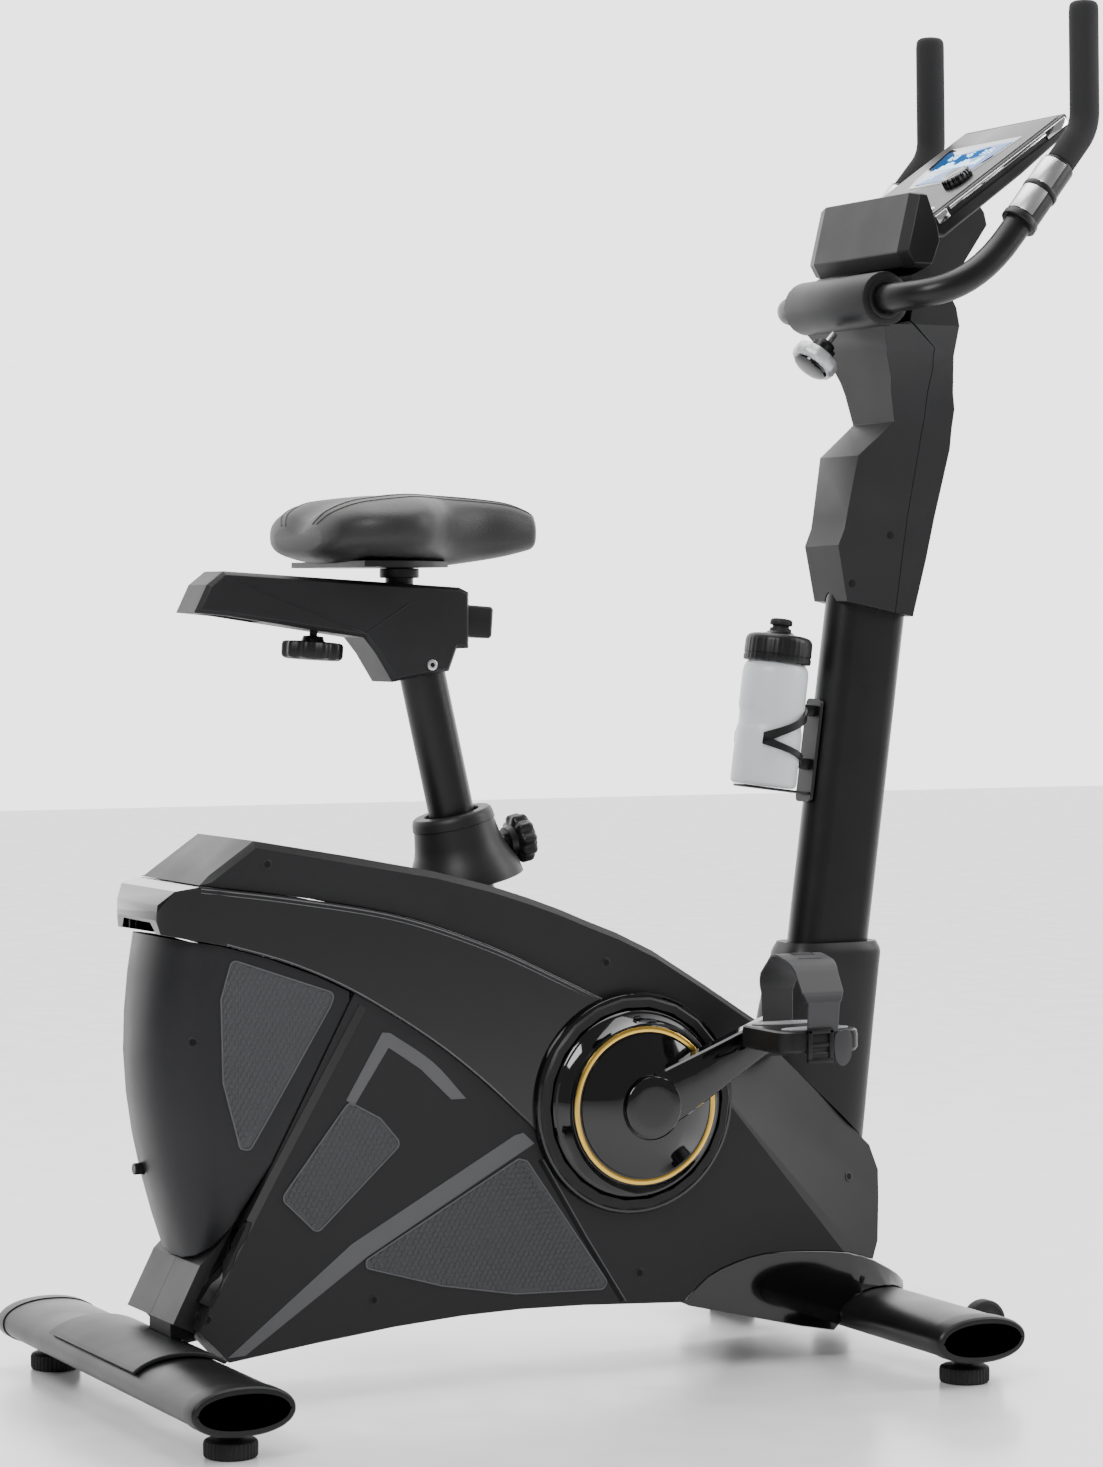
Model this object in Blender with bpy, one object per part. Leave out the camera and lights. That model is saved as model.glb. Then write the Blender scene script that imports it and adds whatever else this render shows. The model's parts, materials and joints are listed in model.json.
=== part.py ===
"""Upright exercise bike: welded base frame, magnetic flywheel drive, sliding saddle and tilting handlebar.

Metres, +Z up, +X towards the handlebar, +Y to the rider's left. Shapes are drawn with x = 0 on the rear
feet and z = 0 on the floor; one empty then carries the whole bike so that its box stands centred on the
origin. Side views are drawn as (x, z) points and stretched with the wheelbase and the casing height.
"""

import math

import bmesh
import bpy
from mathutils import Matrix, Vector

# Driving dimensions
WHEELBASE = 0.845
CASING_HEIGHT = 0.590
CASING_HALF = 0.088
MAST_RISE = 0.378
BAR_TIP_RISE = 0.675
BAR_HALF_SPAN = 0.165
BAR_TIP_HALF = 0.159
SEAT_RISE = 0.143

# Values that the side views were drawn with
DRAWN_WHEELBASE = 0.845
DRAWN_HEIGHT = 0.590

# How finely round shapes are drawn, as a share of each one's own count, and long curves, in steps per point
ROUNDNESS = 0.56
CURVE_STEPS = 3

# Clearances
GAP = 0.0004
SLIDE = 0.0006
TURN = 0.0005
SEAM = 0.0006

# Base
STABILIZER_DEPTH = 0.108
STABILIZER_HEIGHT = 0.048
STABILIZER_WALL = 0.002
STABILIZER_Z = 0.050
STABILIZER_HALF = 0.268
CAP_LENGTH = 0.023
CAP_LIP = 0.0012
FOOT_Y = 0.254
FOOT_RADIUS = 0.027
FOOT_PAD = 0.018
FOOT_STEM = 0.005
FOOT_STEM_TOP = 0.058
FOOT_COVER_HALF = 0.125
FOOT_COVER_THICK = 0.0065
WHEEL_RADIUS = 0.024
WHEEL_HALF = 0.009
WHEEL_Y = 0.165
WHEEL_AHEAD = 0.082
WHEEL_Z = 0.044
WHEEL_PIN = 0.004

# Frame
RAIL_HALF = 0.030
RAIL_LOW = 0.0930
RAIL_HIGH = 0.127
SEAT_TUBE_RADIUS = 0.0290
SEAT_POST_RADIUS = 0.0245
SEAT_POST_WALL = 0.0025
BRACKET_RADIUS = 0.024
BRACKET_HALF = 0.034
PLATE_INNER = 0.022
PLATE_THICK = 0.005

# Drive
CRANK_LENGTH = 0.165
CRANK_ANGLE = math.radians(26.5)
SPINDLE_RADIUS = 0.0085
SPINDLE_HALF = 0.120
CRANK_BOSS = 0.018
CRANK_HUB = 0.033
CRANK_INNER = 0.1215
CRANK_OUTER = 0.1365
PULLEY_RADIUS = 0.105
SMALL_PULLEY_RADIUS = 0.022
PULLEY_INNER = 0.040
PULLEY_OUTER = 0.056
BELT_THICK = 0.003
FLYWHEEL_RADIUS = 0.125
FLYWHEEL_HALF = 0.010
SHAFT_RADIUS = 0.006
BRAKE_GAP = 0.005
DISC_RADIUS = 0.101
COLLAR_RADIUS = 0.118
COLLAR_PROUD = 0.012
PEDAL_INNER = 0.1405
PEDAL_OUTER = 0.240
PEDAL_HALF_LENGTH = 0.049
PEDAL_AXLE = 0.007
STRAP_THICK = 0.003
STRAP_RISE = 0.088

# Casing
WALL = 0.003
TAIL_HALF = 0.086
TOP_HALF = 0.084
ARCH_HALF = 0.091

# Mast and head
MAST_DEPTH = 0.096
MAST_WIDTH = 0.052
MAST_WALL = 0.002
HEAD_HALF = 0.086
BAR_RADIUS = 0.0165
BAR_CORE = 0.013
GRIP_RADIUS = 0.0165
BEND_LOSS = 0.0003
SENSOR_RADIUS = 0.0200
CONSOLE_HALF = 0.105
KNOB_RADIUS = 0.027

# Bottle
BOTTLE_RADIUS = 0.0370
BOTTLE_HEIGHT = 0.142
BOTTLE_OFF_MAST = 0.0575

# Saddle
RAIL_HEIGHT = 0.034
SADDLE_POST = 0.015
SLIDE_BACK = 0.080
SLIDE_FORWARD = 0.020
SLOT_MARGIN = 0.0055

STRETCH_X = WHEELBASE / DRAWN_WHEELBASE
STRETCH_Z = CASING_HEIGHT / DRAWN_HEIGHT
MAST_LEAN = math.atan(0.049 / 0.378)
MAST_UP = Vector((math.sin(MAST_LEAN), 0, math.cos(MAST_LEAN)))
SEAT_LEAN = math.radians(13.0)
SEAT_UP = Vector((-math.sin(SEAT_LEAN), 0, math.cos(SEAT_LEAN)))
SLIDE_TILT = math.radians(4.0)
SLIDE_AHEAD = Vector((math.cos(SLIDE_TILT), 0, -math.sin(SLIDE_TILT)))
SLIDE_UP = Vector((math.sin(SLIDE_TILT), 0, math.cos(SLIDE_TILT)))
Y_AXIS = Vector((0, 1, 0))


def side(x, z):
    """A drawn side-view point, stretched to the set wheelbase and casing height."""
    return (x * STRETCH_X, z * STRETCH_Z)


MAST_FOOT = Vector((side(0.823, 0.447)[0], 0, side(0.823, 0.447)[1]))
MAST_TOP = MAST_FOOT + MAST_UP * (MAST_RISE / math.cos(MAST_LEAN))
DRAWN_MAST_TOP = (0.872, 0.825)
SEAT_MOUTH = Vector((side(0.358, 0.609)[0], 0, side(0.358, 0.609)[1]))
SEAT_TOP = SEAT_MOUTH + SEAT_UP * (SEAT_RISE / math.cos(SEAT_LEAN))
DRAWN_SEAT_TOP = (0.325, 0.752)
CRANK = Vector((side(0.530, 0.299)[0], 0, side(0.530, 0.299)[1]))
FLYWHEEL = Vector((side(0.200, 0.300)[0], 0, side(0.200, 0.300)[1]))


def head(x, z):
    """A drawn side-view point of the mast head, carried by the mast's top."""
    return (x - DRAWN_MAST_TOP[0] + MAST_TOP.x, z - DRAWN_MAST_TOP[1] + MAST_TOP.z)


def perch(x, z):
    """A drawn side-view point of the saddle carriage, carried by the seat post's top."""
    return (x - DRAWN_SEAT_TOP[0] + SEAT_TOP.x, z - DRAWN_SEAT_TOP[1] + SEAT_TOP.z)


def at(point, y=0.0):
    return Vector((point[0], y, point[1]))


BAR = at(head(0.846, 1.169))
BAR_TIP = at(head(1.056, DRAWN_MAST_TOP[1] + BAR_TIP_RISE))
BAR_BEND = at(head(1.058, 1.360))
BACK_X = -(STABILIZER_DEPTH / 2 + CAP_LIP)
FRONT_X = BAR_BEND.x + GRIP_RADIUS - BEND_LOSS
MIDDLE_X = (BACK_X + FRONT_X) / 2


# Objects ------------------------------------------------------------------------------------------------

for leftover in list(bpy.data.objects):
    bpy.data.objects.remove(leftover)

BIKE = bpy.data.objects.new("bike_origin", None)
BIKE.location = (-MIDDLE_X, 0, 0)
bpy.context.scene.collection.objects.link(BIKE)

FINISHES = {}
for finish_name, colour, roughness, metallic in (
    ("casing_matte", (0.030, 0.030, 0.033), 0.55, 0.0),
    ("casing_dark", (0.018, 0.018, 0.020), 0.45, 0.0),
    ("casing_gloss", (0.006, 0.006, 0.007), 0.12, 0.0),
    ("tube_black", (0.012, 0.012, 0.013), 0.35, 0.2),
    ("steel", (0.55, 0.55, 0.56), 0.35, 1.0),
    ("cast_iron", (0.16, 0.16, 0.17), 0.6, 1.0),
    ("rubber", (0.020, 0.020, 0.020), 0.8, 0.0),
    ("foam", (0.022, 0.022, 0.023), 0.9, 0.0),
    ("leatherette", (0.022, 0.021, 0.021), 0.5, 0.0),
    ("screen", (0.02, 0.12, 0.42), 0.1, 0.0),
    ("bottle_clear", (0.82, 0.84, 0.86), 0.35, 0.0),
):
    shader = bpy.data.materials.new(finish_name)
    shader.use_nodes = True
    surface = shader.node_tree.nodes["Principled BSDF"]
    surface.inputs["Base Color"].default_value = (*colour, 1)
    surface.inputs["Roughness"].default_value = roughness
    surface.inputs["Metallic"].default_value = metallic
    FINISHES[finish_name] = shader


def object_from(name, bm, pivot=None):
    """An object under the bike's empty, its own origin on the pivot."""
    pivot = Vector(pivot) if pivot is not None else Vector((0, 0, 0))
    bmesh.ops.remove_doubles(bm, verts=bm.verts, dist=1e-6)
    bmesh.ops.recalc_face_normals(bm, faces=bm.faces)
    bmesh.ops.translate(bm, verts=bm.verts, vec=-pivot)
    mesh = bpy.data.meshes.new(name)
    bm.to_mesh(mesh)
    bm.free()
    obj = bpy.data.objects.new(name, mesh)
    bpy.context.scene.collection.objects.link(obj)
    obj.parent = BIKE
    obj.location = pivot
    return obj


def part(name, bm, finish, pivot=None):
    obj = object_from(name, bm, pivot)
    obj.data.materials.append(FINISHES[finish])
    obj.data.shade_smooth()
    obj.data.set_sharp_from_angle(angle=math.radians(35))
    return obj


def boolean(obj, operation, *shapes):
    """Joins, cuts or intersects an object with hidden helper shapes."""
    for shape in shapes:
        helper = shape
        if isinstance(shape, bmesh.types.BMesh):
            helper = object_from(f"{obj.name}_{operation.lower()}", shape)
        helper.hide_render = True
        helper.display_type = "WIRE"
        helper.hide_set(True)
        modifier = obj.modifiers.new(operation.title(), "BOOLEAN")
        modifier.operation = operation
        modifier.solver = "EXACT"
        modifier.object = helper
    return obj


def join(obj, *shapes):
    return boolean(obj, "UNION", *shapes)


def cut(obj, *shapes):
    return boolean(obj, "DIFFERENCE", *shapes)


def keep(obj, *shapes):
    return boolean(obj, "INTERSECT", *shapes)


# Shape tools ----------------------------------------------------------------------------------------------


def loft(rings, hollow=None):
    """A closed skin through rings of points; with hollow rings it is a tube open at both ends."""
    bm = bmesh.new()
    skins = [[[bm.verts.new(p) for p in ring] for ring in group] for group in (rings, hollow or [])]
    for skin in skins:
        for low, high in zip(skin, skin[1:]):
            for i in range(len(low)):
                j = (i + 1) % len(low)
                bm.faces.new((low[i], low[j], high[j], high[i]))
    outer, inner = skins
    for end in (0, -1):
        if not inner:
            bm.faces.new(outer[end])
            continue
        for i in range(len(outer[end])):
            j = (i + 1) % len(outer[end])
            bm.faces.new((outer[end][i], outer[end][j], inner[end][j], inner[end][i]))
    bmesh.ops.recalc_face_normals(bm, faces=bm.faces)
    return bm


def slab(outline, low, high):
    """A side-view outline extruded across the bike from y = low to y = high."""
    return loft([[at(p, y) for p in outline] for y in (low, high)])


def front_slab(outline, low, high):
    """A front-view outline of (y, z) points extruded from x = low to x = high."""
    return loft([[Vector((x, p[0], p[1])) for p in outline] for x in (low, high)])


def block(low, high):
    bm = bmesh.new()
    bmesh.ops.create_cube(bm, size=1.0)
    size = Vector(high) - Vector(low)
    centre = (Vector(high) + Vector(low)) / 2
    bmesh.ops.scale(bm, verts=bm.verts, vec=size)
    bmesh.ops.translate(bm, verts=bm.verts, vec=centre)
    return bm


def oval(depth, width, count, power=2.0):
    """Points round a superellipse of the given full depth and width."""
    count = max(2 * round(count * ROUNDNESS / 2), 10)
    points = []
    for i in range(count):
        c = math.cos(2 * math.pi * i / count)
        s = math.sin(2 * math.pi * i / count)
        points.append(
            (
                math.copysign(abs(c) ** (2 / power), c) * depth / 2,
                math.copysign(abs(s) ** (2 / power), s) * width / 2,
            )
        )
    return points


def ring(centre, u, v, section):
    return [centre + u * a + v * b for a, b in section]


def across(axis):
    """Two directions that are square to an axis."""
    axis = axis.normalized()
    u = Vector((0, 1, 0)) if abs(axis.y) < 0.9 else Vector((1, 0, 0))
    u = (u - axis * u.dot(axis)).normalized()
    return u, axis.cross(u)


def turned(start, axis, profile, count=24, bore=0.0):
    """A turned solid: profile is a list of (distance along the axis, radius)."""
    u, v = across(axis)
    axis = axis.normalized()
    rings = [ring(start + axis * s, u, v, oval(2 * r, 2 * r, count)) for s, r in profile]
    if not bore:
        return loft(rings)
    first, last = profile[0][0], profile[-1][0]
    steps = [first + (last - first) * k / (len(profile) - 1) for k in range(len(profile))]
    inner = [ring(start + axis * s, u, v, oval(2 * bore, 2 * bore, count)) for s in steps]
    return loft(rings, inner)


def rod(start, end, radius, count=20, bore=0.0):
    length = (end - start).length
    return turned(start, end - start, [(0, radius), (length, radius)], count, bore)


def rounded(corners, steps=5):
    """An outline or path of (point, radius) corners, each round one drawn as an arc."""
    result = []
    points = [Vector(p) for p, _ in corners]
    closed = len(points[0]) == 2
    for i, (point, radius) in enumerate(corners):
        here = points[i]
        if radius <= 0 or (not closed and i in (0, len(points) - 1)):
            result.append(here)
            continue
        back = (points[i - 1] - here).normalized()
        ahead = (points[(i + 1) % len(points)] - here).normalized()
        half = back.angle(ahead) / 2
        reach = radius / math.tan(half)
        centre = here + (back + ahead).normalized() * (radius / math.sin(half))
        first = here + back * reach - centre
        last = here + ahead * reach - centre
        turn = first.angle(last)
        for k in range(steps + 1):
            t = k / steps
            a = math.sin((1 - t) * turn) / math.sin(turn)
            b = math.sin(t * turn) / math.sin(turn)
            result.append(centre + first * a + last * b)
    return result


def curve(points, steps=CURVE_STEPS):
    """A smooth line through the points, each stretch between two of them drawn in several steps."""
    points = [Vector(p) for p in points]
    line = []
    for i, (here, there) in enumerate(zip(points, points[1:])):
        before = points[i - 1] if i else here * 2 - there
        after = points[i + 2] if i + 2 < len(points) else there * 2 - here
        for k in range(steps):
            t = k / steps
            bend = (before * 2 - here * 5 + there * 4 - after) * t**2
            twist = (here * 3 - before - there * 3 + after) * t**3
            line.append((here * 2 + (there - before) * t + bend + twist) / 2)
    return line + [points[-1]]


def shrink(outline, amount):
    """The outline moved inwards by amount (outwards if negative), corner by corner."""
    points = [Vector(p) for p in outline]
    count = len(points)
    area = sum(points[i - 1].x * points[i].y - points[i].x * points[i - 1].y for i in range(count))
    sign = 1 if area > 0 else -1
    moved = []
    for i in range(count):
        back = (points[i] - points[i - 1]).normalized()
        ahead = (points[(i + 1) % count] - points[i]).normalized()
        inward = Vector((-back.y - ahead.y, back.x + ahead.x)) * sign
        if inward.length < 1e-9:
            inward = Vector((-back.y, back.x)) * sign
        inward.normalize()
        cosine = inward.dot(Vector((-back.y, back.x)) * sign)
        moved.append(points[i] + inward * (amount / max(cosine, 0.35)))
    return moved


def sweep(path, radii, count=16, bore=None):
    """A round bar along a path, its radius given at each point; bore makes it a sleeve."""
    rings = []
    inner = []
    u = None
    for i, point in enumerate(path):
        ahead = path[min(i + 1, len(path) - 1)] - path[max(i - 1, 0)]
        ahead.normalize()
        if u is None:
            u = across(ahead)[0]
        u = (u - ahead * u.dot(ahead)).normalized()
        v = ahead.cross(u)
        rings.append(ring(point, u, v, oval(2 * radii[i], 2 * radii[i], count)))
        if bore:
            inner.append(ring(point, u, v, oval(2 * bore, 2 * bore, count)))
    return loft(rings, inner if bore else None)


# Casing side views ----------------------------------------------------------------------------------------

TAIL_TOP = side(0.206, 0.430)
DIAGONAL_LOW = side(0.108, 0.247)
CREASE_HIGH = at(side(0.643, 0.298))
CREASE_LOW = at(side(0.795, 0.118))
NOSE_SLOPE = 0.44


def arch_low():
    """The arch band's lower edge, from the tail to the crank."""
    points = (
        (0.063, 0.484), (0.135, 0.462), (0.206, 0.430), (0.288, 0.380), (0.350, 0.333), (0.415, 0.275),
    )
    return curve([side(x, z) for x, z in points])


def arch_high():
    """The seam between the arch band and the top cover, from the crank back to the tail."""
    points = (
        (0.560, 0.378), (0.504, 0.407), (0.440, 0.438), (0.358, 0.475), (0.254, 0.510), (0.136, 0.532), (0.036, 0.546)
    )
    return curve([side(x, z) for x, z in points])


def fold_front(bm):
    """Narrows the casing ahead of the crease, evenly down to the nose."""
    along = (CREASE_LOW - CREASE_HIGH).normalized()
    normal = along.cross(Y_AXIS).normalized()
    if normal.x < 0:
        normal = -normal
    bmesh.ops.bisect_plane(
        bm, geom=bm.verts[:] + bm.edges[:] + bm.faces[:], dist=1e-6, plane_co=CREASE_HIGH,
        plane_no=normal,
    )
    for vert in bm.verts:
        ahead = (vert.co - CREASE_HIGH).dot(normal)
        if ahead > 0 and abs(vert.co.y) > 0.04:
            vert.co.y -= math.copysign(ahead * NOSE_SLOPE, vert.co.y)
    return bm


def half_slab(outline, low, high, hand):
    """A slab on one side of the bike; hand is +1 for the left and -1 for the right."""
    return slab(outline, min(hand * low, hand * high), max(hand * low, hand * high))


def cowl_top(lift=0.0):
    """The seam between the side covers and the front cowl, from the back to the nose."""
    points = (
        (0.592, 0.0785), (0.622, 0.104), (0.655, 0.117), (0.693, 0.1245), (0.745, 0.1235), (0.800, 0.118), (0.838, 0.1055)
    )
    return [(x, z + lift) for x, z in curve([side(*p) for p in points], 2)]


def side_outline():
    """A side cover's edge, anticlockwise from its rear foot."""
    low = [
        side(x, z)
        for x, z in (
            (0.034, 0.092), (0.066, 0.058), (0.160, 0.070), (0.251, 0.080), (0.330, 0.0855),
            (0.396, 0.087), (0.470, 0.0855), (0.545, 0.0815),
        )
    ]
    nose = [side(x, z) for x, z in ((0.850, 0.125), (0.861, 0.170), (0.8665, 0.200), (0.858, 0.2275))]
    top = [side(x, z) for x, z in ((0.736, 0.337), (0.690, 0.338), (0.600, 0.360), (0.560, 0.378))]
    return low + cowl_top(SEAM) + nose + top + list(
        reversed(arch_low()[2 * CURVE_STEPS :])
    ) + [DIAGONAL_LOW]


def leg_outline():
    return [
        side(x, z)
        for x, z in (
            (0.013, 0.098), (0.034, 0.088), (0.115, 0.092), (0.115, 0.242), (0.088, 0.2055),
            (0.061, 0.1735), (0.0425, 0.156),
        )
    ]


def inner_opening():
    """The part of a side cover's edge that stays open between the two halves and the covers above."""
    points = (
        (0.095, 0.215), (0.125, 0.165), (0.820, 0.165), (0.848, 0.200), (0.850, 0.232), (0.870, 0.290),
        (0.740, 0.365), (0.560, 0.420), (0.300, 0.450), (0.200, 0.480), (0.060, 0.250),
    )
    return [side(x, z) for x, z in points]


def rail_passage():
    """Where the bottom rail and its feet run through the covers."""
    return [
        side(x, z)
        for x, z in ((0.018, 0.040), (0.020, 0.100), (0.0385, 0.137), (0.838, 0.137), (0.838, 0.040))
    ]


def build_side_covers():
    """The right cover is cut to shape and the left one is its mirror image."""
    hand = -1
    outline = side_outline()
    hub = at((CRANK.x, CRANK.z), 0)
    shell = part(
        "side_cover_right", fold_front(half_slab(outline, -0.010, CASING_HALF, hand)), "casing_matte",
    )
    join(shell, half_slab(leg_outline(), -0.012, 0.066, hand))
    join(shell, turned(hub + Y_AXIS * hand * (CASING_HALF - 0.002), Y_AXIS * hand,
                       [
                           (0, COLLAR_RADIUS), (COLLAR_PROUD * 0.7, COLLAR_RADIUS),
                           (COLLAR_PROUD + 0.002, COLLAR_RADIUS - 0.006),
                       ], 40))
    cut(shell, fold_front(half_slab(shrink(outline, WALL), -0.02, CASING_HALF - WALL, hand)),
        half_slab(shrink(leg_outline(), WALL), -0.022, 0.066 - WALL, hand),
        fold_front(half_slab(inner_opening(), -0.024, CASING_HALF - 0.012, hand)),
        half_slab(rail_passage(), -0.026, RAIL_HALF + 0.004, hand),
        rod(
            hub + Y_AXIS * hand * (CASING_HALF - 0.0008), hub + Y_AXIS * hand * (CASING_HALF + 0.03),
            DISC_RADIUS + 0.003, 40,
        ),
        rod(hub + Y_AXIS * hand * 0.06, hub + Y_AXIS * hand * 0.12, CRANK_BOSS + 0.006, 24),
        block((-1, -GAP / 2, -1), (2, 1, 2)))
    bpy.context.view_layer.update()
    graph = bpy.context.evaluated_depsgraph_get()
    mesh = bpy.data.meshes.new_from_object(shell.evaluated_get(graph))
    mesh.transform(Matrix.Scale(-1, 4, Y_AXIS))
    mesh.flip_normals()
    mesh.name = "side_cover_left"
    left = bpy.data.objects.new("side_cover_left", mesh)
    bpy.context.scene.collection.objects.link(left)
    left.parent = BIKE


def tail_back(z):
    """How far back the tail's centre line lies at height z."""
    top = 0.500 * STRETCH_Z
    tip = 0.158 * STRETCH_Z
    t = (z - tip) / (top - tip)
    bulge = -0.006 + 0.012 * max(t - 0.62, 0) ** 2 * 8
    return (0.043 * max(1 - t / 0.62, 0) ** 1.7 + bulge) * STRETCH_X


INLET = Vector((tail_back(0.247 * STRETCH_Z), 0.020, 0.247 * STRETCH_Z))


def tail_rings(inset):
    """Columns of points over the tail's skin, from the right front edge round the back to the left."""
    front = TAIL_TOP[0] - 0.005
    columns = []
    bends = [0.0, 0.10, 0.22, 0.36, 0.52, 0.70, 0.88, 1.0]
    stops = [(t, hand) for hand, row in ((-1, list(reversed(bends))), (1, bends[1:])) for t in row]
    for t, hand in stops:
        curl = math.sin(min(t / 0.52, 1.0) * math.pi / 2)
        y = hand * (TAIL_HALF - inset) * curl ** 0.8
        reach = (
            1 - math.cos(min(t / 0.52, 1.0) * math.pi / 2)
        ) * 0.055 if t <= 0.52 else 0.055 + (t - 0.52) / 0.48 * (front - 0.055)
        column = []
        for k in range(9):
            share = k / 8
            x = reach
            for _ in range(4):
                low = tail_low(x)
                high = tail_high(x)
                z = low + (high - low) * share
                back = tail_back(z) + inset
                x = back + reach * (front - back) / front
            column.append(Vector((x, y * tail_swell(z, t), z)))
        columns.append(column)
    return columns


def tail_low(x):
    points = [side(0.040, 0.158), side(0.060, 0.176), side(0.088, 0.2095), DIAGONAL_LOW, TAIL_TOP]
    return interpolate(points, x) + 2.5 * SEAM


def tail_high(x):
    points = [side(-0.02, 0.4975)] + arch_low()[: 2 * CURVE_STEPS + 1]
    return max(interpolate(points, x) - SEAM, tail_low(x) + 0.003)


def tail_swell(z, t):
    """Draws the tail's sides in towards its tip."""
    rise = min(max((z / STRETCH_Z - 0.158) / 0.16, 0), 1)
    return 0.80 + 0.20 * math.sin(rise * math.pi / 2) if t < 0.7 else 1.0


def interpolate(points, x):
    if x <= points[0][0]:
        return points[0][1]
    for (x0, z0), (x1, z1) in zip(points, points[1:]):
        if x <= x1:
            return z0 + (z1 - z0) * (x - x0) / (x1 - x0)
    return points[-1][1]


def build_tail_cover():
    """A bent sheet: an outer and an inner skin closed round their rim."""
    bm = bmesh.new()
    skins = [[[bm.verts.new(p) for p in column] for column in tail_rings(inset)] for inset in (0.0, WALL)]
    columns, rows = len(skins[0]), len(skins[0][0])
    for skin in skins:
        for i in range(columns - 1):
            for k in range(rows - 1):
                bm.faces.new((skin[i][k], skin[i + 1][k], skin[i + 1][k + 1], skin[i][k + 1]))
    outer, inner = skins
    for i in range(columns - 1):
        for k in (0, rows - 1):
            bm.faces.new((outer[i][k], outer[i + 1][k], inner[i + 1][k], inner[i][k]))
    for i in (0, columns - 1):
        for k in range(rows - 1):
            bm.faces.new((outer[i][k], outer[i][k + 1], inner[i][k + 1], inner[i][k]))
    tail = part("tail_cover", bm, "casing_matte")
    cut(tail, rod(INLET - Vector((0.03, 0, 0)), INLET + Vector((0.05, 0, 0)), 0.0070, 16))


def plan_slab(outline, low, high):
    """A plan outline of (x, y) points extruded from z = low to z = high."""
    return loft([[Vector((p[0], p[1], z)) for p in outline] for z in (low, high)])


def mirrored(points):
    """A plan outline completed with its mirror image across the bike's middle."""
    return list(points) + [(x, -y) for x, y in reversed(list(points))]


def build_arch_band():
    back = [side(x, z) for x, z in ((0.012, 0.541), (0.0, 0.526), (-0.001, 0.510), (0.002, 0.4955))]
    outline = shrink([*arch_low(), *arch_high(), *back], SEAM / 2)
    plan = [
        (x * STRETCH_X, y)
        for x, y in (
            (-0.004, 0.040), (0.0, 0.058), (0.012, 0.077), (0.032, 0.0885), (0.055, ARCH_HALF),
            (0.62, ARCH_HALF),
        )
    ]
    hollow = [
        (x * STRETCH_X, y)
        for x, y in (
            (0.0, 0.0), (0.0, 0.038), (0.0035, 0.055), (0.015, 0.074), (0.034, 0.0855),
            (0.055, ARCH_HALF - 0.0025), (0.62, ARCH_HALF - 0.0025),
        )
    ]
    band = part("arch_band", slab(outline, -ARCH_HALF, ARCH_HALF), "casing_gloss")
    keep(band, plan_slab(mirrored(plan), 0.0, 1.0))
    roof = 0.521 * STRETCH_Z
    cut(band, plan_slab(mirrored(hollow), -0.01, roof),
        block(
            (0.041 * STRETCH_X, 0.0035 - ARCH_HALF, roof - 0.004),
            (0.62 * STRETCH_X, ARCH_HALF - 0.0035, 1.1),
        ),
        rod(CRANK - Y_AXIS * 0.2, CRANK + Y_AXIS * 0.2, COLLAR_RADIUS + SEAM, 40))


def top_outline(lower=0.0, drop=0.0):
    """The top cover's edge, its upper line lowered by one amount and its seam by another."""
    seam = [side(x, z) for x, z in ((0.733, 0.3390), (0.690, 0.3390), (0.600, 0.3610))] + arch_high()
    crest = ((0.098, 0.590), (0.300, 0.553), (0.410, 0.522), (0.480, 0.495), (0.560, 0.460), (0.690, 0.378))
    high = [side(0.049, 0.556)] + curve([side(x, z) for x, z in crest], 2)
    return [(x, z + SEAM - drop) for x, z in seam] + [(x, z - lower) for x, z in high]


def build_top_cover():
    full, low_edge = top_outline(), top_outline(lower=0.007)
    rings = [
        (low_edge, -TOP_HALF), (full, 0.007 - TOP_HALF), (full, TOP_HALF - 0.007), (low_edge, TOP_HALF),
    ]
    cover = part("top_cover", loft([[at(p, y) for p in outline] for outline, y in rings]), "casing_matte")
    base = SEAT_MOUTH - SEAT_UP * 0.075
    join(
        cover,
        turned(
            base, SEAT_UP, [(0, 0.062), (0.012, 0.060), (0.040, 0.047), (0.068, 0.041), (0.075, 0.038)],
            32,
        ),
    )
    inner = [(x * 0.994 + 0.003, z) for x, z in top_outline(lower=WALL * 1.3, drop=0.05)]
    inner_low = [(x * 0.994 + 0.003, z) for x, z in top_outline(lower=WALL * 1.3 + 0.007, drop=0.05)]
    rings = [
        (inner_low, WALL - TOP_HALF), (inner, WALL + 0.007 - TOP_HALF),
        (inner, TOP_HALF - WALL - 0.007), (inner_low, TOP_HALF - WALL),
    ]
    cut(cover, loft([[at(p, y) for p in outline] for outline, y in rings]))
    cut(cover, rod(base - SEAT_UP * 0.05, SEAT_MOUTH + SEAT_UP * 0.02, SEAT_TUBE_RADIUS + SLIDE, 32),
        rod(PIN_SEAT, PIN_SEAT + PIN_OUT * 0.08, 0.0125, 20),
        rod(PIN_SEAT + PIN_OUT * 0.0535, PIN_SEAT + PIN_OUT * 0.10, 0.0195, 20))


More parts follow.
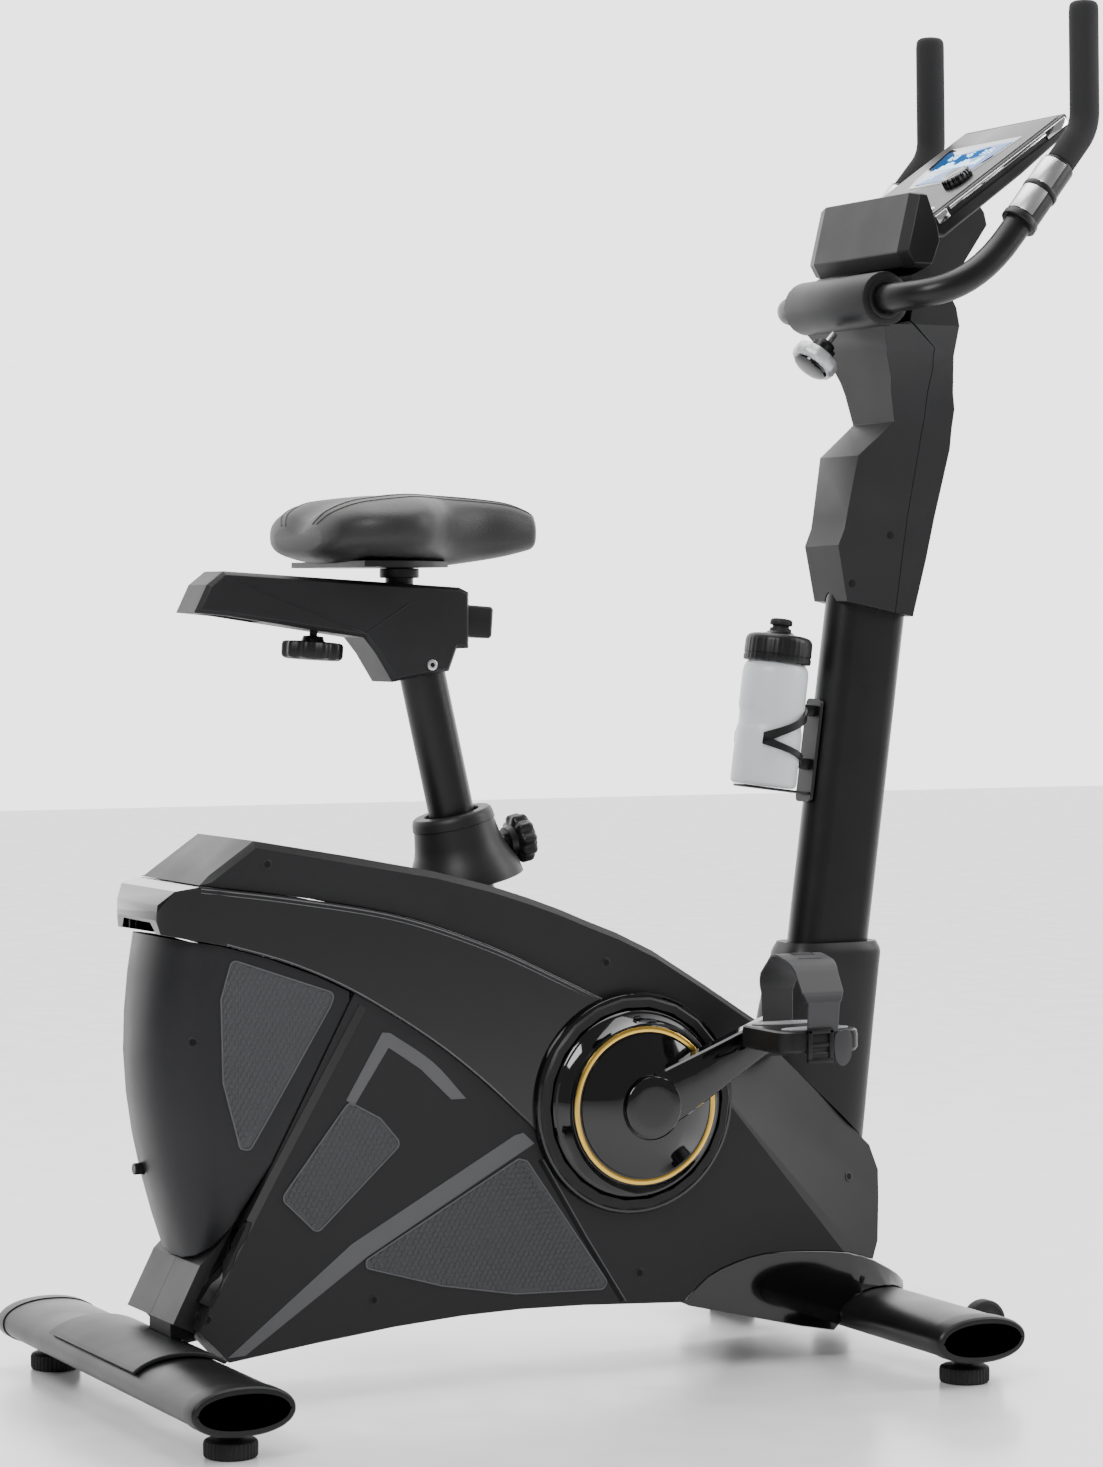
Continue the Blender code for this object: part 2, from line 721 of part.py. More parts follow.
def build_mast_boot():
    levels = [side(x, z) for x, z in ((0.0, 0.19), (0.0, 0.300), (0.0, 0.385), (0.0, 0.446), (0.0, 0.4555))]
    front = [side(x, 0)[0] for x in (0.8545, 0.8665, 0.876, 0.883, 0.878)]
    rear = [side(x, 0)[0] for x in (0.700, 0.7285, 0.746, 0.7624, 0.7684)]
    widths = (0.086, 0.083, 0.080, 0.079, 0.068)

    def rings(inset, first, last):
        found = []
        for k in range(first, last):
            middle = Vector(((front[k] + rear[k]) / 2, 0, levels[k][1]))
            section = oval(front[k] - rear[k] - 2 * inset, widths[k] - 2 * inset, 32, 3.2)
            found.append(ring(middle, Vector((1, 0, 0)), Y_AXIS, section))
        return found

    boot = part("mast_boot", loft(rings(0.0, 0, 5)), "casing_matte")
    cut(boot, loft(rings(WALL, 0, 4)))
    cut(
        boot,
        slab(
            [
                side(x, z)
                for x, z in (
                    (0.60, 0.4595), (0.736, 0.3378), (0.8585, 0.2282), (0.95, 0.146), (0.95, 0.05),
                    (0.60, 0.05),
                )
            ],
            -0.2, 0.2,
        ),
    )
    cut(boot, mast_bar(0.10, 0.60, MAST_GAP))


def mast_section(depth, width, count=32):
    """A stadium: flat sides closed by half rounds at the front and back."""
    flat = depth / 2 - width / 2
    points = []
    for i in range(count):
        angle = 2 * math.pi * (i + 0.5) / count
        c = math.cos(angle)
        points.append((math.copysign(flat, c) + c * width / 2, math.sin(angle) * width / 2))
    return points


def mast_point(z):
    return MAST_FOOT + MAST_UP * ((z - MAST_FOOT.z) / MAST_UP.z)


MAST_AHEAD = Vector((MAST_UP.z, 0, -MAST_UP.x))
MAST_GAP = 0.0008


def mast_bar(low, high, grow, hollow=None):
    """The mast's section between two heights, larger all round by grow."""
    ends = [mast_point(low), mast_point(high)]
    outer = [
        ring(p, MAST_AHEAD, Y_AXIS, mast_section(MAST_DEPTH + 2 * grow, MAST_WIDTH + 2 * grow))
        for p in ends
    ]
    if hollow is None:
        return loft(outer)
    inner = [
        ring(p, MAST_AHEAD, Y_AXIS, mast_section(MAST_DEPTH - 2 * hollow, MAST_WIDTH - 2 * hollow))
        for p in ends
    ]
    return loft(outer, inner)


PIN_SEAT = SEAT_MOUTH - SEAT_UP * 0.046
PIN_OUT = Vector((math.cos(SEAT_LEAN), 0, math.sin(SEAT_LEAN)))


def build_frame():
    section = [
        (y * RAIL_HALF, z)
        for y, z in ((-1, RAIL_LOW), (1, RAIL_LOW), (1, RAIL_HIGH), (-1, RAIL_HIGH))
    ]
    inner = [
        (y * (RAIL_HALF - 0.003), z)
        for y, z in (
            (-1, RAIL_LOW + 0.003), (1, RAIL_LOW + 0.003), (1, RAIL_HIGH - 0.003),
            (-1, RAIL_HIGH - 0.003),
        )
    ]
    ends = (side(0.036, 0)[0], side(0.832, 0)[0])
    outer_rings = [[Vector((x, y, z)) for y, z in section] for x in ends]
    inner_rings = [[Vector((x, y, z)) for y, z in inner] for x in ends]
    frame = part("main_frame", loft(outer_rings, inner_rings), "tube_black")
    top = STABILIZER_Z + STABILIZER_HEIGHT / 2
    join(frame, block(
        (side(0.024, 0)[0], -RAIL_HALF, top + GAP), (side(0.064, 0)[0], RAIL_HALF, RAIL_LOW + 0.0015),
    ),
         block(
             (WHEELBASE - 0.046, -RAIL_HALF, top + GAP),
             (WHEELBASE - 0.014, RAIL_HALF, RAIL_LOW + 0.0015),
         ))
    foot = SEAT_MOUTH - SEAT_UP * ((SEAT_MOUTH.z - RAIL_HIGH + 0.010) / SEAT_UP.z)
    join(frame, rod(foot, SEAT_MOUTH - SEAT_UP * 0.010, SEAT_TUBE_RADIUS, 28))
    join(frame, rod(CRANK - Y_AXIS * BRACKET_HALF, CRANK + Y_AXIS * BRACKET_HALF, BRACKET_RADIUS, 28))
    crank = (CRANK.x, CRANK.z)
    web = [
        (crank[0], crank[1] + 0.018), (crank[0] - 0.10, crank[1] + 0.04),
        (crank[0] - 0.10, crank[1] - 0.02), (crank[0], crank[1] - 0.018),
    ]
    join(frame, slab(web, -0.015, 0.015))
    wheel = (FLYWHEEL.x, FLYWHEEL.z)
    pivot = brake_pivot()
    tube_x = SEAT_MOUTH.x + (SEAT_MOUTH.z - wheel[1]) * math.tan(SEAT_LEAN)
    plate = [
        (wheel[0] - 0.016, wheel[1] - 0.014), (pivot.x - 0.010, pivot.z + 0.030),
        (pivot.x - 0.012, pivot.z - 0.010), (pivot.x + 0.012, pivot.z - 0.012),
        (tube_x + 0.008, wheel[1] - 0.030), (tube_x, wheel[1] + 0.020), (wheel[0], wheel[1] + 0.016),
        (wheel[0] - 0.016, wheel[1] + 0.014),
    ]
    for hand in (-1, 1):
        ends = sorted((hand * PLATE_INNER, hand * (PLATE_INNER + PLATE_THICK)))
        join(frame, slab(plate, *ends))
    join(
        frame,
        rod(pivot - Y_AXIS * (PLATE_INNER + 0.003), pivot + Y_AXIS * (PLATE_INNER + 0.003), 0.004, 14),
    )
    low = mast_point(RAIL_HIGH - 0.002).z
    stub = [
        ring(
            mast_point(z), MAST_AHEAD, Y_AXIS,
            mast_section(
                MAST_DEPTH - 2 * MAST_WALL - 2 * MAST_GAP, MAST_WIDTH - 2 * MAST_WALL - 2 * MAST_GAP,
            ),
        )
        for z in (low, 0.330 * STRETCH_Z)
    ]
    join(frame, loft(stub))
    cut(frame, block((-1, -1, 0.0), (2, 1, top + GAP)))
    cut(frame, rod(SEAT_MOUTH - SEAT_UP * 0.400, SEAT_MOUTH + SEAT_UP * 0.01, SEAT_POST_RADIUS + SLIDE, 28),
        rod(CRANK - Y_AXIS * 0.1, CRANK + Y_AXIS * 0.1, SPINDLE_RADIUS + TURN, 24),
        rod(FLYWHEEL - Y_AXIS * 0.1, FLYWHEEL + Y_AXIS * 0.1, SHAFT_RADIUS + TURN, 18),
        rod(PIN_SEAT, PIN_SEAT + PIN_OUT * 0.06, 0.0105, 20),
        block(
            (side(0.030, 0)[0], -(RAIL_HALF - 0.003), RAIL_LOW + 0.003),
            (side(0.70, 0)[0], RAIL_HALF - 0.003, RAIL_HIGH - 0.003),
        ))


def brake_pivot():
    radius = FLYWHEEL_RADIUS + 0.014
    angle = math.radians(-36)
    return FLYWHEEL + Vector((math.cos(angle) * radius, 0, math.sin(angle) * radius))


def stabilizer_section(inset=0.0):
    return oval(STABILIZER_DEPTH - 2 * inset, STABILIZER_HEIGHT - 2 * inset, 40, 2.15)


def stabilizer_rings(x, low, high, inset=0.0):
    return [
        ring(
            Vector((x, y, STABILIZER_Z)), Vector((1, 0, 0)), Vector((0, 0, 1)),
            stabilizer_section(inset),
        )
        for y in (low, high)
    ]


def build_stabilizer(x, name):
    tube = part(
        name,
        loft(
            stabilizer_rings(x, -STABILIZER_HALF, STABILIZER_HALF),
            stabilizer_rings(x, -STABILIZER_HALF, STABILIZER_HALF, STABILIZER_WALL),
        ),
        "tube_black",
    )
    for hand in (-1, 1):
        foot = Vector((x, hand * FOOT_Y, 0))
        cut(tube, rod(foot, foot + Vector((0, 0, STABILIZER_Z)), FOOT_STEM + TURN, 16))
    return tube


def build_wheel_brackets(tube):
    """A flat arm and a pin on each side carry a wheel clear of the tube."""
    for hand in (-1, 1):
        inner = hand * (WHEEL_Y - WHEEL_HALF - 0.0045)
        outer = hand * (WHEEL_Y - WHEEL_HALF - 0.0010)
        low, high = sorted((inner, outer))
        x = WHEELBASE + WHEEL_AHEAD
        arm = [
            (WHEELBASE + 0.030, 0.060), (WHEELBASE + 0.044, 0.041), (x - 0.004, WHEEL_Z - 0.008),
            (x + 0.008, WHEEL_Z - 0.003), (x + 0.008, WHEEL_Z + 0.006), (x - 0.004, WHEEL_Z + 0.010),
            (WHEELBASE + 0.045, 0.062),
        ]
        join(tube, slab(arm, low, high))
        pin = Vector((x, 0, WHEEL_Z))
        ends = sorted((hand * (WHEEL_Y - WHEEL_HALF - 0.003), hand * (WHEEL_Y + WHEEL_HALF + 0.001)))
        join(tube, rod(pin + Y_AXIS * ends[0], pin + Y_AXIS * ends[1], WHEEL_PIN, 14))
        head_ends = sorted((hand * (WHEEL_Y + WHEEL_HALF + 0.0008), hand * (WHEEL_Y + WHEEL_HALF + 0.003)))
        join(tube, rod(pin + Y_AXIS * head_ends[0], pin + Y_AXIS * head_ends[1], WHEEL_PIN + 0.003, 14))


def build_end_cap(x, hand, name):
    start = STABILIZER_HALF + GAP
    sizes = (
        (start - 0.0065, STABILIZER_WALL + 0.0006), (start - 0.0004, STABILIZER_WALL + 0.0006),
        (start, -CAP_LIP), (start + CAP_LENGTH - 0.003, -CAP_LIP), (start + CAP_LENGTH, 0.0015),
        (start + CAP_LENGTH, 0.007), (start + CAP_LENGTH - 0.002, 0.0078),
    )
    rings = [
        ring(
            Vector((x, hand * y, STABILIZER_Z)), Vector((1, 0, 0)), Vector((0, 0, 1)),
            stabilizer_section(inset),
        )
        for y, inset in sizes
    ]
    return part(name, loft(rings), "casing_dark")


def build_foot(x, hand, name):
    base = Vector((x, hand * FOOT_Y, 0))
    under = STABILIZER_Z - STABILIZER_HEIGHT / 2
    profile = [
        (0, FOOT_RADIUS - 0.0015), (0.0015, FOOT_RADIUS), (FOOT_PAD - 0.003, FOOT_RADIUS),
        (FOOT_PAD, FOOT_RADIUS - 0.004), (FOOT_PAD + 0.0005, 0.011), (under - 0.0012, 0.011),
        (under - 0.0008, FOOT_STEM), (FOOT_STEM_TOP, FOOT_STEM),
    ]
    return part(name, turned(base, Vector((0, 0, 1)), profile, 28), "rubber", base)


def build_foot_cover():
    """A saddle-shaped plate over the rear tube, with the frame's foot through it."""
    def arc(grow, turn):
        depth = STABILIZER_DEPTH / 2 + grow
        height = STABILIZER_HEIGHT / 2 + grow
        return [(math.cos(a) * depth, STABILIZER_Z + math.sin(a) * height) for a in turn]
    angles = [math.radians(34 + 118 * k / 16) for k in range(17)]
    outline = arc(FOOT_COVER_THICK, angles) + arc(SEAM + 0.001, list(reversed(angles)))
    cover = part("rear_foot_cover", slab(outline, -FOOT_COVER_HALF, FOOT_COVER_HALF), "casing_matte")
    cut(cover, block((side(0.024, 0)[0] - SEAM, -RAIL_HALF - SEAM, 0), (0.2, RAIL_HALF + SEAM, 0.2)))
    cut(cover, fold_front(half_slab(shrink(side_outline(), -0.001), -0.001, CASING_HALF + 0.001, 1)),
        fold_front(half_slab(shrink(side_outline(), -0.001), -0.001, CASING_HALF + 0.001, -1)))


def build_front_cowl():
    low = [side(x, z) for x, z in ((0.600, 0.0745), (0.660, 0.060), (0.740, 0.041), (0.782, 0.033))]
    tip = [
        (x - DRAWN_WHEELBASE + WHEELBASE, z)
        for x, z in (
            (0.795, 0.0450), (0.895, 0.0480), (0.908, 0.0540), (0.911, 0.0620), (0.880, 0.0850),
        )
    ]
    outline = low + tip + list(reversed(cowl_top()))
    plan = [
        (x - DRAWN_WHEELBASE + WHEELBASE, y)
        for x, y in (
            (0.50, CASING_HALF), (0.812, CASING_HALF), (0.860, 0.0740), (0.893, 0.0520),
            (0.913, 0.0200),
        )
    ]
    cowl = part("front_cowl", slab(outline, -CASING_HALF, CASING_HALF), "casing_gloss")
    keep(cowl, plan_slab(mirrored(plan), 0.0, 1.0))
    inner = [(x - WALL, max(y - WALL, 0.001)) for x, y in plan]
    cavity = object_from("front_cowl_cavity", slab(shrink(outline, WALL), -0.2, 0.2))
    keep(cavity, plan_slab(mirrored(inner), 0.0, 1.0))
    cut(cowl, cavity, loft(stabilizer_rings(WHEELBASE, -0.2, 0.2, -(SEAM + 0.0006))),
        slab(
            [side(x, z) for x, z in ((0.585, 0.020), (0.585, 0.140), (0.842, 0.140), (0.842, 0.020))],
            -(RAIL_HALF + 0.004), RAIL_HALF + 0.004,
        ))


def build_wheel(hand, name):
    pivot = Vector((WHEELBASE + WHEEL_AHEAD, hand * WHEEL_Y, WHEEL_Z))
    profile = [
        (-WHEEL_HALF, WHEEL_RADIUS - 0.003), (0.0025 - WHEEL_HALF, WHEEL_RADIUS),
        (WHEEL_HALF - 0.0025, WHEEL_RADIUS), (WHEEL_HALF, WHEEL_RADIUS - 0.003),
    ]
    return part(name, turned(pivot, Y_AXIS, profile, 28, bore=WHEEL_PIN + TURN), "rubber", pivot)


# Drive ------------------------------------------------------------------------------------------------------


def build_spindle():
    part(
        "crank_spindle",
        rod(CRANK - Y_AXIS * SPINDLE_HALF, CRANK + Y_AXIS * SPINDLE_HALF, SPINDLE_RADIUS, 24), "steel",
        CRANK,
    )


def build_pulley():
    lip = 0.0020
    profile = [
        (PULLEY_INNER, PULLEY_RADIUS + lip), (PULLEY_INNER + 0.0016, PULLEY_RADIUS + lip),
        (PULLEY_INNER + 0.0018, PULLEY_RADIUS), (PULLEY_OUTER - 0.0018, PULLEY_RADIUS),
        (PULLEY_OUTER - 0.0016, PULLEY_RADIUS + lip), (PULLEY_OUTER, PULLEY_RADIUS + lip),
    ]
    pulley = part(
        "crank_pulley", turned(CRANK, Y_AXIS, profile, 48, bore=SPINDLE_RADIUS + GAP), "casing_dark",
        CRANK,
    )
    for k in range(5):
        angle = 2 * math.pi * k / 5
        spot = CRANK + Vector((math.cos(angle), 0, math.sin(angle))) * 0.060
        cut(pulley, rod(spot, spot + Y_AXIS * 0.1, 0.020, 16))


def build_belt():
    """A flat belt: half rounds on the two pulleys joined by their common tangents."""
    gap = CRANK - FLYWHEEL
    distance = gap.length
    lean = math.atan2(gap.z, gap.x)
    turn = math.acos((PULLEY_RADIUS - SMALL_PULLEY_RADIUS) / distance)

    def loop(grow):
        points = []
        for k in range(25):
            angle = lean - (math.pi - turn) + 2 * (math.pi - turn) * k / 24
            radius = PULLEY_RADIUS + grow
            points.append((CRANK.x + math.cos(angle) * radius, CRANK.z + math.sin(angle) * radius))
        for k in range(11):
            angle = lean + (math.pi - turn) + 2 * turn * k / 10
            radius = SMALL_PULLEY_RADIUS + grow
            points.append((FLYWHEEL.x + math.cos(angle) * radius, FLYWHEEL.z + math.sin(angle) * radius))
        return points

    ends = (PULLEY_INNER + 0.0023, PULLEY_OUTER - 0.0023)
    rings = [[at(p, y) for p in loop(GAP + BELT_THICK)] for y in ends]
    hollow = [[at(p, y) for p in loop(GAP)] for y in ends]
    part("drive_belt", loft(rings, hollow), "rubber")


def build_flywheel():
    hub = 0.016
    end = PULLEY_OUTER
    edge = FLYWHEEL_HALF
    inner = PLATE_INNER - TURN - 0.0015
    profile = [
        (-(PLATE_INNER + PLATE_THICK + 0.010), SHAFT_RADIUS), (-inner - 0.0001, SHAFT_RADIUS),
        (-inner, hub), (-edge * 0.6, hub + 0.004), (-edge * 0.6, FLYWHEEL_RADIUS * 0.72),
        (-edge, FLYWHEEL_RADIUS * 0.76), (-edge, FLYWHEEL_RADIUS - 0.002),
        (0.002 - edge, FLYWHEEL_RADIUS), (edge - 0.002, FLYWHEEL_RADIUS),
        (edge, FLYWHEEL_RADIUS - 0.002), (edge, FLYWHEEL_RADIUS * 0.76),
        (edge * 0.6, FLYWHEEL_RADIUS * 0.72), (edge * 0.6, hub + 0.004), (inner, hub),
        (inner + 0.0001, SHAFT_RADIUS), (PULLEY_INNER - 0.001, SHAFT_RADIUS),
        (PULLEY_INNER, SMALL_PULLEY_RADIUS), (end, SMALL_PULLEY_RADIUS), (end + 0.002, SHAFT_RADIUS),
        (end + 0.008, SHAFT_RADIUS),
    ]
    part("flywheel", turned(FLYWHEEL, Y_AXIS, profile, 48), "cast_iron", FLYWHEEL)


def build_brake():
    """A magnet carrier bent round the rim, hinged on the pin between the frame plates."""
    pivot = brake_pivot()
    low = FLYWHEEL_RADIUS + BRAKE_GAP
    rings = []
    for k in range(13):
        angle = math.radians(-36 + 96 * k / 12)
        out = Vector((math.cos(angle), 0, math.sin(angle)))
        rings.append(
            [
                FLYWHEEL + out * r + Y_AXIS * y
                for r, y in (
                    (low, -0.0205), (low, 0.0205), (low + 0.012, 0.0205), (low + 0.012, -0.0205),
                )
            ]
        )
    arm = part("brake_arm", loft(rings), "steel", pivot)
    join(arm, rod(pivot - Y_AXIS * 0.0205, pivot + Y_AXIS * 0.0205, 0.008, 18))
    cut(arm, rod(pivot - Y_AXIS * 0.1, pivot + Y_AXIS * 0.1, 0.0045, 16),
        rod(FLYWHEEL - Y_AXIS * 0.03, FLYWHEEL + Y_AXIS * 0.03, low, 48))


def build_servo():
    x = side(0.340, 0)[0]
    top = RAIL_HIGH + GAP
    box = part("servo_motor", block((x, -0.024, top), (x + 0.060, 0.024, top + 0.034)), "casing_dark")
    join(box, rod(Vector((x + 0.018, 0, top + 0.030)), Vector((x + 0.018, 0, top + 0.042)), 0.012, 18))


def crank_direction(hand):
    angle = CRANK_ANGLE + (0 if hand < 0 else math.pi)
    return Vector((math.cos(angle), 0, math.sin(angle)))


def pedal_centre(hand):
    return CRANK + crank_direction(hand) * CRANK_LENGTH


def build_crank(hand, name):
    along = crank_direction(hand)
    up = Y_AXIS.cross(along)
    root, tip = 0.0275, 0.0175
    outline = []
    for centre, radius, start in ((CRANK + along * CRANK_LENGTH, tip, -90), (CRANK, root, 90)):
        for k in range(13):
            angle = math.radians(start + 180 * k / 12)
            spot = centre + along * math.cos(angle) * radius + up * math.sin(angle) * radius
            outline.append((spot.x, spot.z))
    rings = [
        (shrink(outline, 0.002), CRANK_INNER), (outline, CRANK_INNER + 0.002),
        (outline, CRANK_OUTER - 0.003), (shrink(outline, 0.003), CRANK_OUTER),
    ]
    arm = part(name, loft([[at(p, hand * y) for p in shape] for shape, y in rings]), "casing_dark", CRANK)
    join(
        arm,
        rod(
            CRANK + Y_AXIS * hand * 0.0895, CRANK + Y_AXIS * hand * (CRANK_INNER + 0.004), CRANK_BOSS,
            24,
        ),
    )
    join(
        arm,
        turned(
            CRANK + Y_AXIS * hand * (CRANK_INNER + 0.001), Y_AXIS * hand,
            [(0, CRANK_HUB), (0.012, CRANK_HUB), (0.0175, CRANK_HUB - 0.006)], 32,
        ),
    )
    axle = pedal_centre(hand)
    join(
        arm,
        turned(
            axle + Y_AXIS * hand * (CRANK_OUTER - 0.003), Y_AXIS * hand,
            [
                (0, PEDAL_AXLE + 0.003), (0.0055, PEDAL_AXLE + 0.003), (0.006, PEDAL_AXLE),
                (PEDAL_OUTER - CRANK_OUTER - 0.012, PEDAL_AXLE),
            ],
            20,
        ),
    )
    cut(
        arm,
        rod(
            CRANK + Y_AXIS * hand * 0.05, CRANK + Y_AXIS * hand * (SPINDLE_HALF + 0.0005),
            SPINDLE_RADIUS + GAP, 24,
        ),
    )


def build_disc(hand, name):
    profile = [
        (0.0935, 0.097), (0.0945, DISC_RADIUS), (0.1040, DISC_RADIUS), (0.1120, 0.0935),
        (0.1185, 0.083), (0.1200, 0.080), (0.1205, 0.040), (0.1185, 0.036),
    ]
    part(name, turned(CRANK, Y_AXIS * hand, profile, 48, bore=CRANK_BOSS + GAP), "casing_gloss", CRANK)


def build_pedal(hand, name):
    centre = pedal_centre(hand)
    x, z = centre.x, centre.z
    reach = PEDAL_HALF_LENGTH
    plan = [
        (x + px, hand * py)
        for px, py in (
            (-reach + 0.014, PEDAL_INNER), (reach - 0.014, PEDAL_INNER), (reach, PEDAL_INNER + 0.012),
            (reach, PEDAL_OUTER - 0.014), (reach - 0.014, PEDAL_OUTER), (-reach + 0.014, PEDAL_OUTER),
            (-reach, PEDAL_OUTER - 0.014), (-reach, PEDAL_INNER + 0.012),
        )
    ]
    small = shrink(plan, 0.004)
    rings = [(small, z - 0.0135), (plan, z - 0.0095), (plan, z + 0.0095), (small, z + 0.0135)]
    pedal = part(
        name, loft([[Vector((p[0], p[1], level)) for p in shape] for shape, level in rings]),
        "casing_dark", centre,
    )
    cut(pedal, rod(
        Vector((x, hand * 0.10, z)), Vector((x, hand * (PEDAL_OUTER - 0.010), z)), PEDAL_AXLE + TURN,
        20,
    ),
        rod(
            Vector((x, hand * 0.13, z)), Vector((x, hand * (PEDAL_INNER + 0.0015), z)),
            PEDAL_AXLE + 0.0036, 20,
        ))
    for across_x in (-0.028, 0.028):
        low, high = sorted((hand * (PEDAL_INNER + 0.014), hand * (PEDAL_OUTER - 0.016)))
        cut(pedal, block((x + across_x - 0.010, low, z - 0.03), (x + across_x + 0.010, high, z + 0.03)))


def build_strap(hand, name):
    """A rubber band over the pedal, from its crank side to its outer side."""
    centre = pedal_centre(hand)
    base = 0.0135 + GAP
    corners = [
        (Vector((0, PEDAL_INNER + 0.006, base)), 0), (Vector((0, PEDAL_INNER + 0.003, 0.055)), 0.026),
        (Vector((0, PEDAL_INNER + 0.038, STRAP_RISE)), 0.030),
        (Vector((0, PEDAL_OUTER - 0.022, STRAP_RISE - 0.010)), 0.026),
        (Vector((0, PEDAL_OUTER - 0.003, 0.045)), 0.020), (Vector((0, PEDAL_OUTER - 0.008, base)), 0),
    ]
    path = rounded(corners, 4)
    rings = []
    for i, point in enumerate(path):
        ahead = (path[min(i + 1, len(path) - 1)] - path[max(i - 1, 0)]).normalized()
        out = Vector((0, -ahead.z, ahead.y))
        half = 0.019 + 0.010 * math.sin(math.pi * i / (len(path) - 1))
        corner = [
            point + out * t + Vector((s * half, 0, 0))
            for s, t in ((-1, 0), (1, 0), (1, STRAP_THICK), (-1, STRAP_THICK))
        ]
        rings.append([Vector((centre.x + p.x, hand * p.y, centre.z + max(p.z, base))) for p in corner])
    part(name, loft(rings), "rubber", centre)


# Mast and head ------------------------------------------------------------------------------------------------

BAR_RAMP = at(head(0.905, 1.171))
SENSOR_START = 0.100
SENSOR_END = 0.188


BAR_STRAIGHT = 0.092
BAR_SWEEP = 0.085


def bar_corners(hand):
    """The corners of the handlebar's centre line on one side: ramp foot, upper bend and tip."""
    out = Vector((0, hand * BAR_HALF_SPAN, 0))
    tip_out = Vector((0, hand * BAR_TIP_HALF, 0))
    return [BAR_RAMP + out, BAR_BEND + tip_out, BAR_TIP + tip_out]


def bar_sweep(hand, steps=10):
    """The long bend that carries the bar from the head's sleeve out and up onto its ramp."""
    start = BAR + Vector((0, hand * BAR_STRAIGHT, 0))
    end = along_ramp(BAR_SWEEP, hand)
    pulls = [start, start + Vector((0, hand * BAR_SWEEP, 0)), bar_corners(hand)[0], end]
    line = []
    for k in range(steps + 1):
        t = k / steps
        shares = ((1 - t) ** 3, 3 * t * (1 - t) ** 2, 3 * t * t * (1 - t), t**3)
        line.append(sum((p * a for p, a in zip(pulls, shares)), Vector((0, 0, 0))))
    return line


def along_ramp(distance, hand):
    low, high = bar_corners(hand)[:2]
    return low + (high - low).normalized() * distance


def build_handlebar():
    def centre_line(hand):
        thick = [BAR] + bar_sweep(hand) + [along_ramp(SENSOR_START - 0.001, hand)]
        bend, tip = bar_corners(hand)[1:]
        ends = (along_ramp(SENSOR_START - 0.0009, hand), tip - Vector((0, 0, 0.002)))
        thin = rounded([(ends[0], 0), (bend, 0.050), (ends[1], 0)], 6)
        return thick, thin

    left_thick, left_thin = centre_line(1)
    right_thick, right_thin = centre_line(-1)
    path = list(reversed(right_thin)) + list(reversed(right_thick))[:-1] + left_thick + left_thin
    radii = [BAR_CORE] * len(right_thin) + [BAR_RADIUS] * (
        len(right_thick) - 1 + len(left_thick)
    ) + [BAR_CORE] * len(left_thin)
    part("handlebar", sweep(path, radii, 20), "tube_black", BAR)


def build_grip(hand, name):
    bend, tip = bar_corners(hand)[1:]
    path = rounded([(along_ramp(SENSOR_END + GAP, hand), 0), (bend, 0.050), (tip, 0)], 8)
    part(name, sweep(path, [GRIP_RADIUS] * len(path), 20, bore=BAR_CORE + GAP + 0.0003), "foam", BAR)


def build_sensor(hand, name):
    start = along_ramp(SENSOR_START, hand)
    axis = along_ramp(1.0, hand) - start
    length = SENSOR_END - SENSOR_START
    profile = [
        (0, SENSOR_RADIUS + 0.001), (0.008, SENSOR_RADIUS + 0.001), (0.0085, SENSOR_RADIUS - 0.001),
        (length - 0.004, SENSOR_RADIUS - 0.001), (length, SENSOR_RADIUS - 0.002),
    ]
    part(name, turned(start, axis, profile, 24, bore=BAR_CORE + GAP), "casing_dark", BAR)


def neck_outline():
    points = (
        (0.898, 0.945), (0.936, 0.945), (0.945, 1.050), (0.917, 1.110), (0.868, 1.178), (0.846, 1.160),
        (0.886, 1.100), (0.901, 1.035),
    )
    return [head(x, z) for x, z in points]


NECK_HALF = 0.012
SLEEVE_RADIUS = 0.0215
SLEEVE_HALF = 0.050
MAST_END = head(0, 0.972)[1]


def build_mast():
    mast = part("mast_tube", mast_bar(RAIL_HIGH + 0.009, MAST_END, 0.0, MAST_WALL), "tube_black")
    join(mast, slab(neck_outline(), -NECK_HALF, NECK_HALF))
    join(mast, rod(BAR - Y_AXIS * SLEEVE_HALF, BAR + Y_AXIS * SLEEVE_HALF, SLEEVE_RADIUS, 28))
    cut(mast, rod(BAR - Y_AXIS * 0.2, BAR + Y_AXIS * 0.2, BAR_RADIUS + TURN, 28))
    cut(mast, rod(KNOB_NECK - KNOB_OUT * 0.0160, KNOB_NECK + KNOB_OUT * 0.1, 0.0052, 14))


KNOB_NECK = at(head(0.829, 1.132))
KNOB_OUT = Vector((-0.64, 0, -0.77)).normalized()


def flare():
    """The head seen from the front: a mast-wide column that opens into the cross sleeve."""
    right = (
        (0.0355, 0.780), (0.0375, 0.930), (0.0440, 1.030), (0.0500, 1.070), (0.0640, 1.110),
        (0.0860, 1.142), (0.0860, 1.240),
    )
    lifted = [(y, head(0, z)[1]) for y, z in right]
    return lifted + [(-y, z) for y, z in reversed(lifted)]


def split_line(ahead=0.0):
    points = (
        (0.890, 0.800), (0.890, 0.824), (0.904, 0.927), (0.9215, 1.040), (0.924, 1.096), (0.920, 1.118),
        (0.8765, 1.1450),
    )
    return [head(x + ahead, z) for x, z in points]


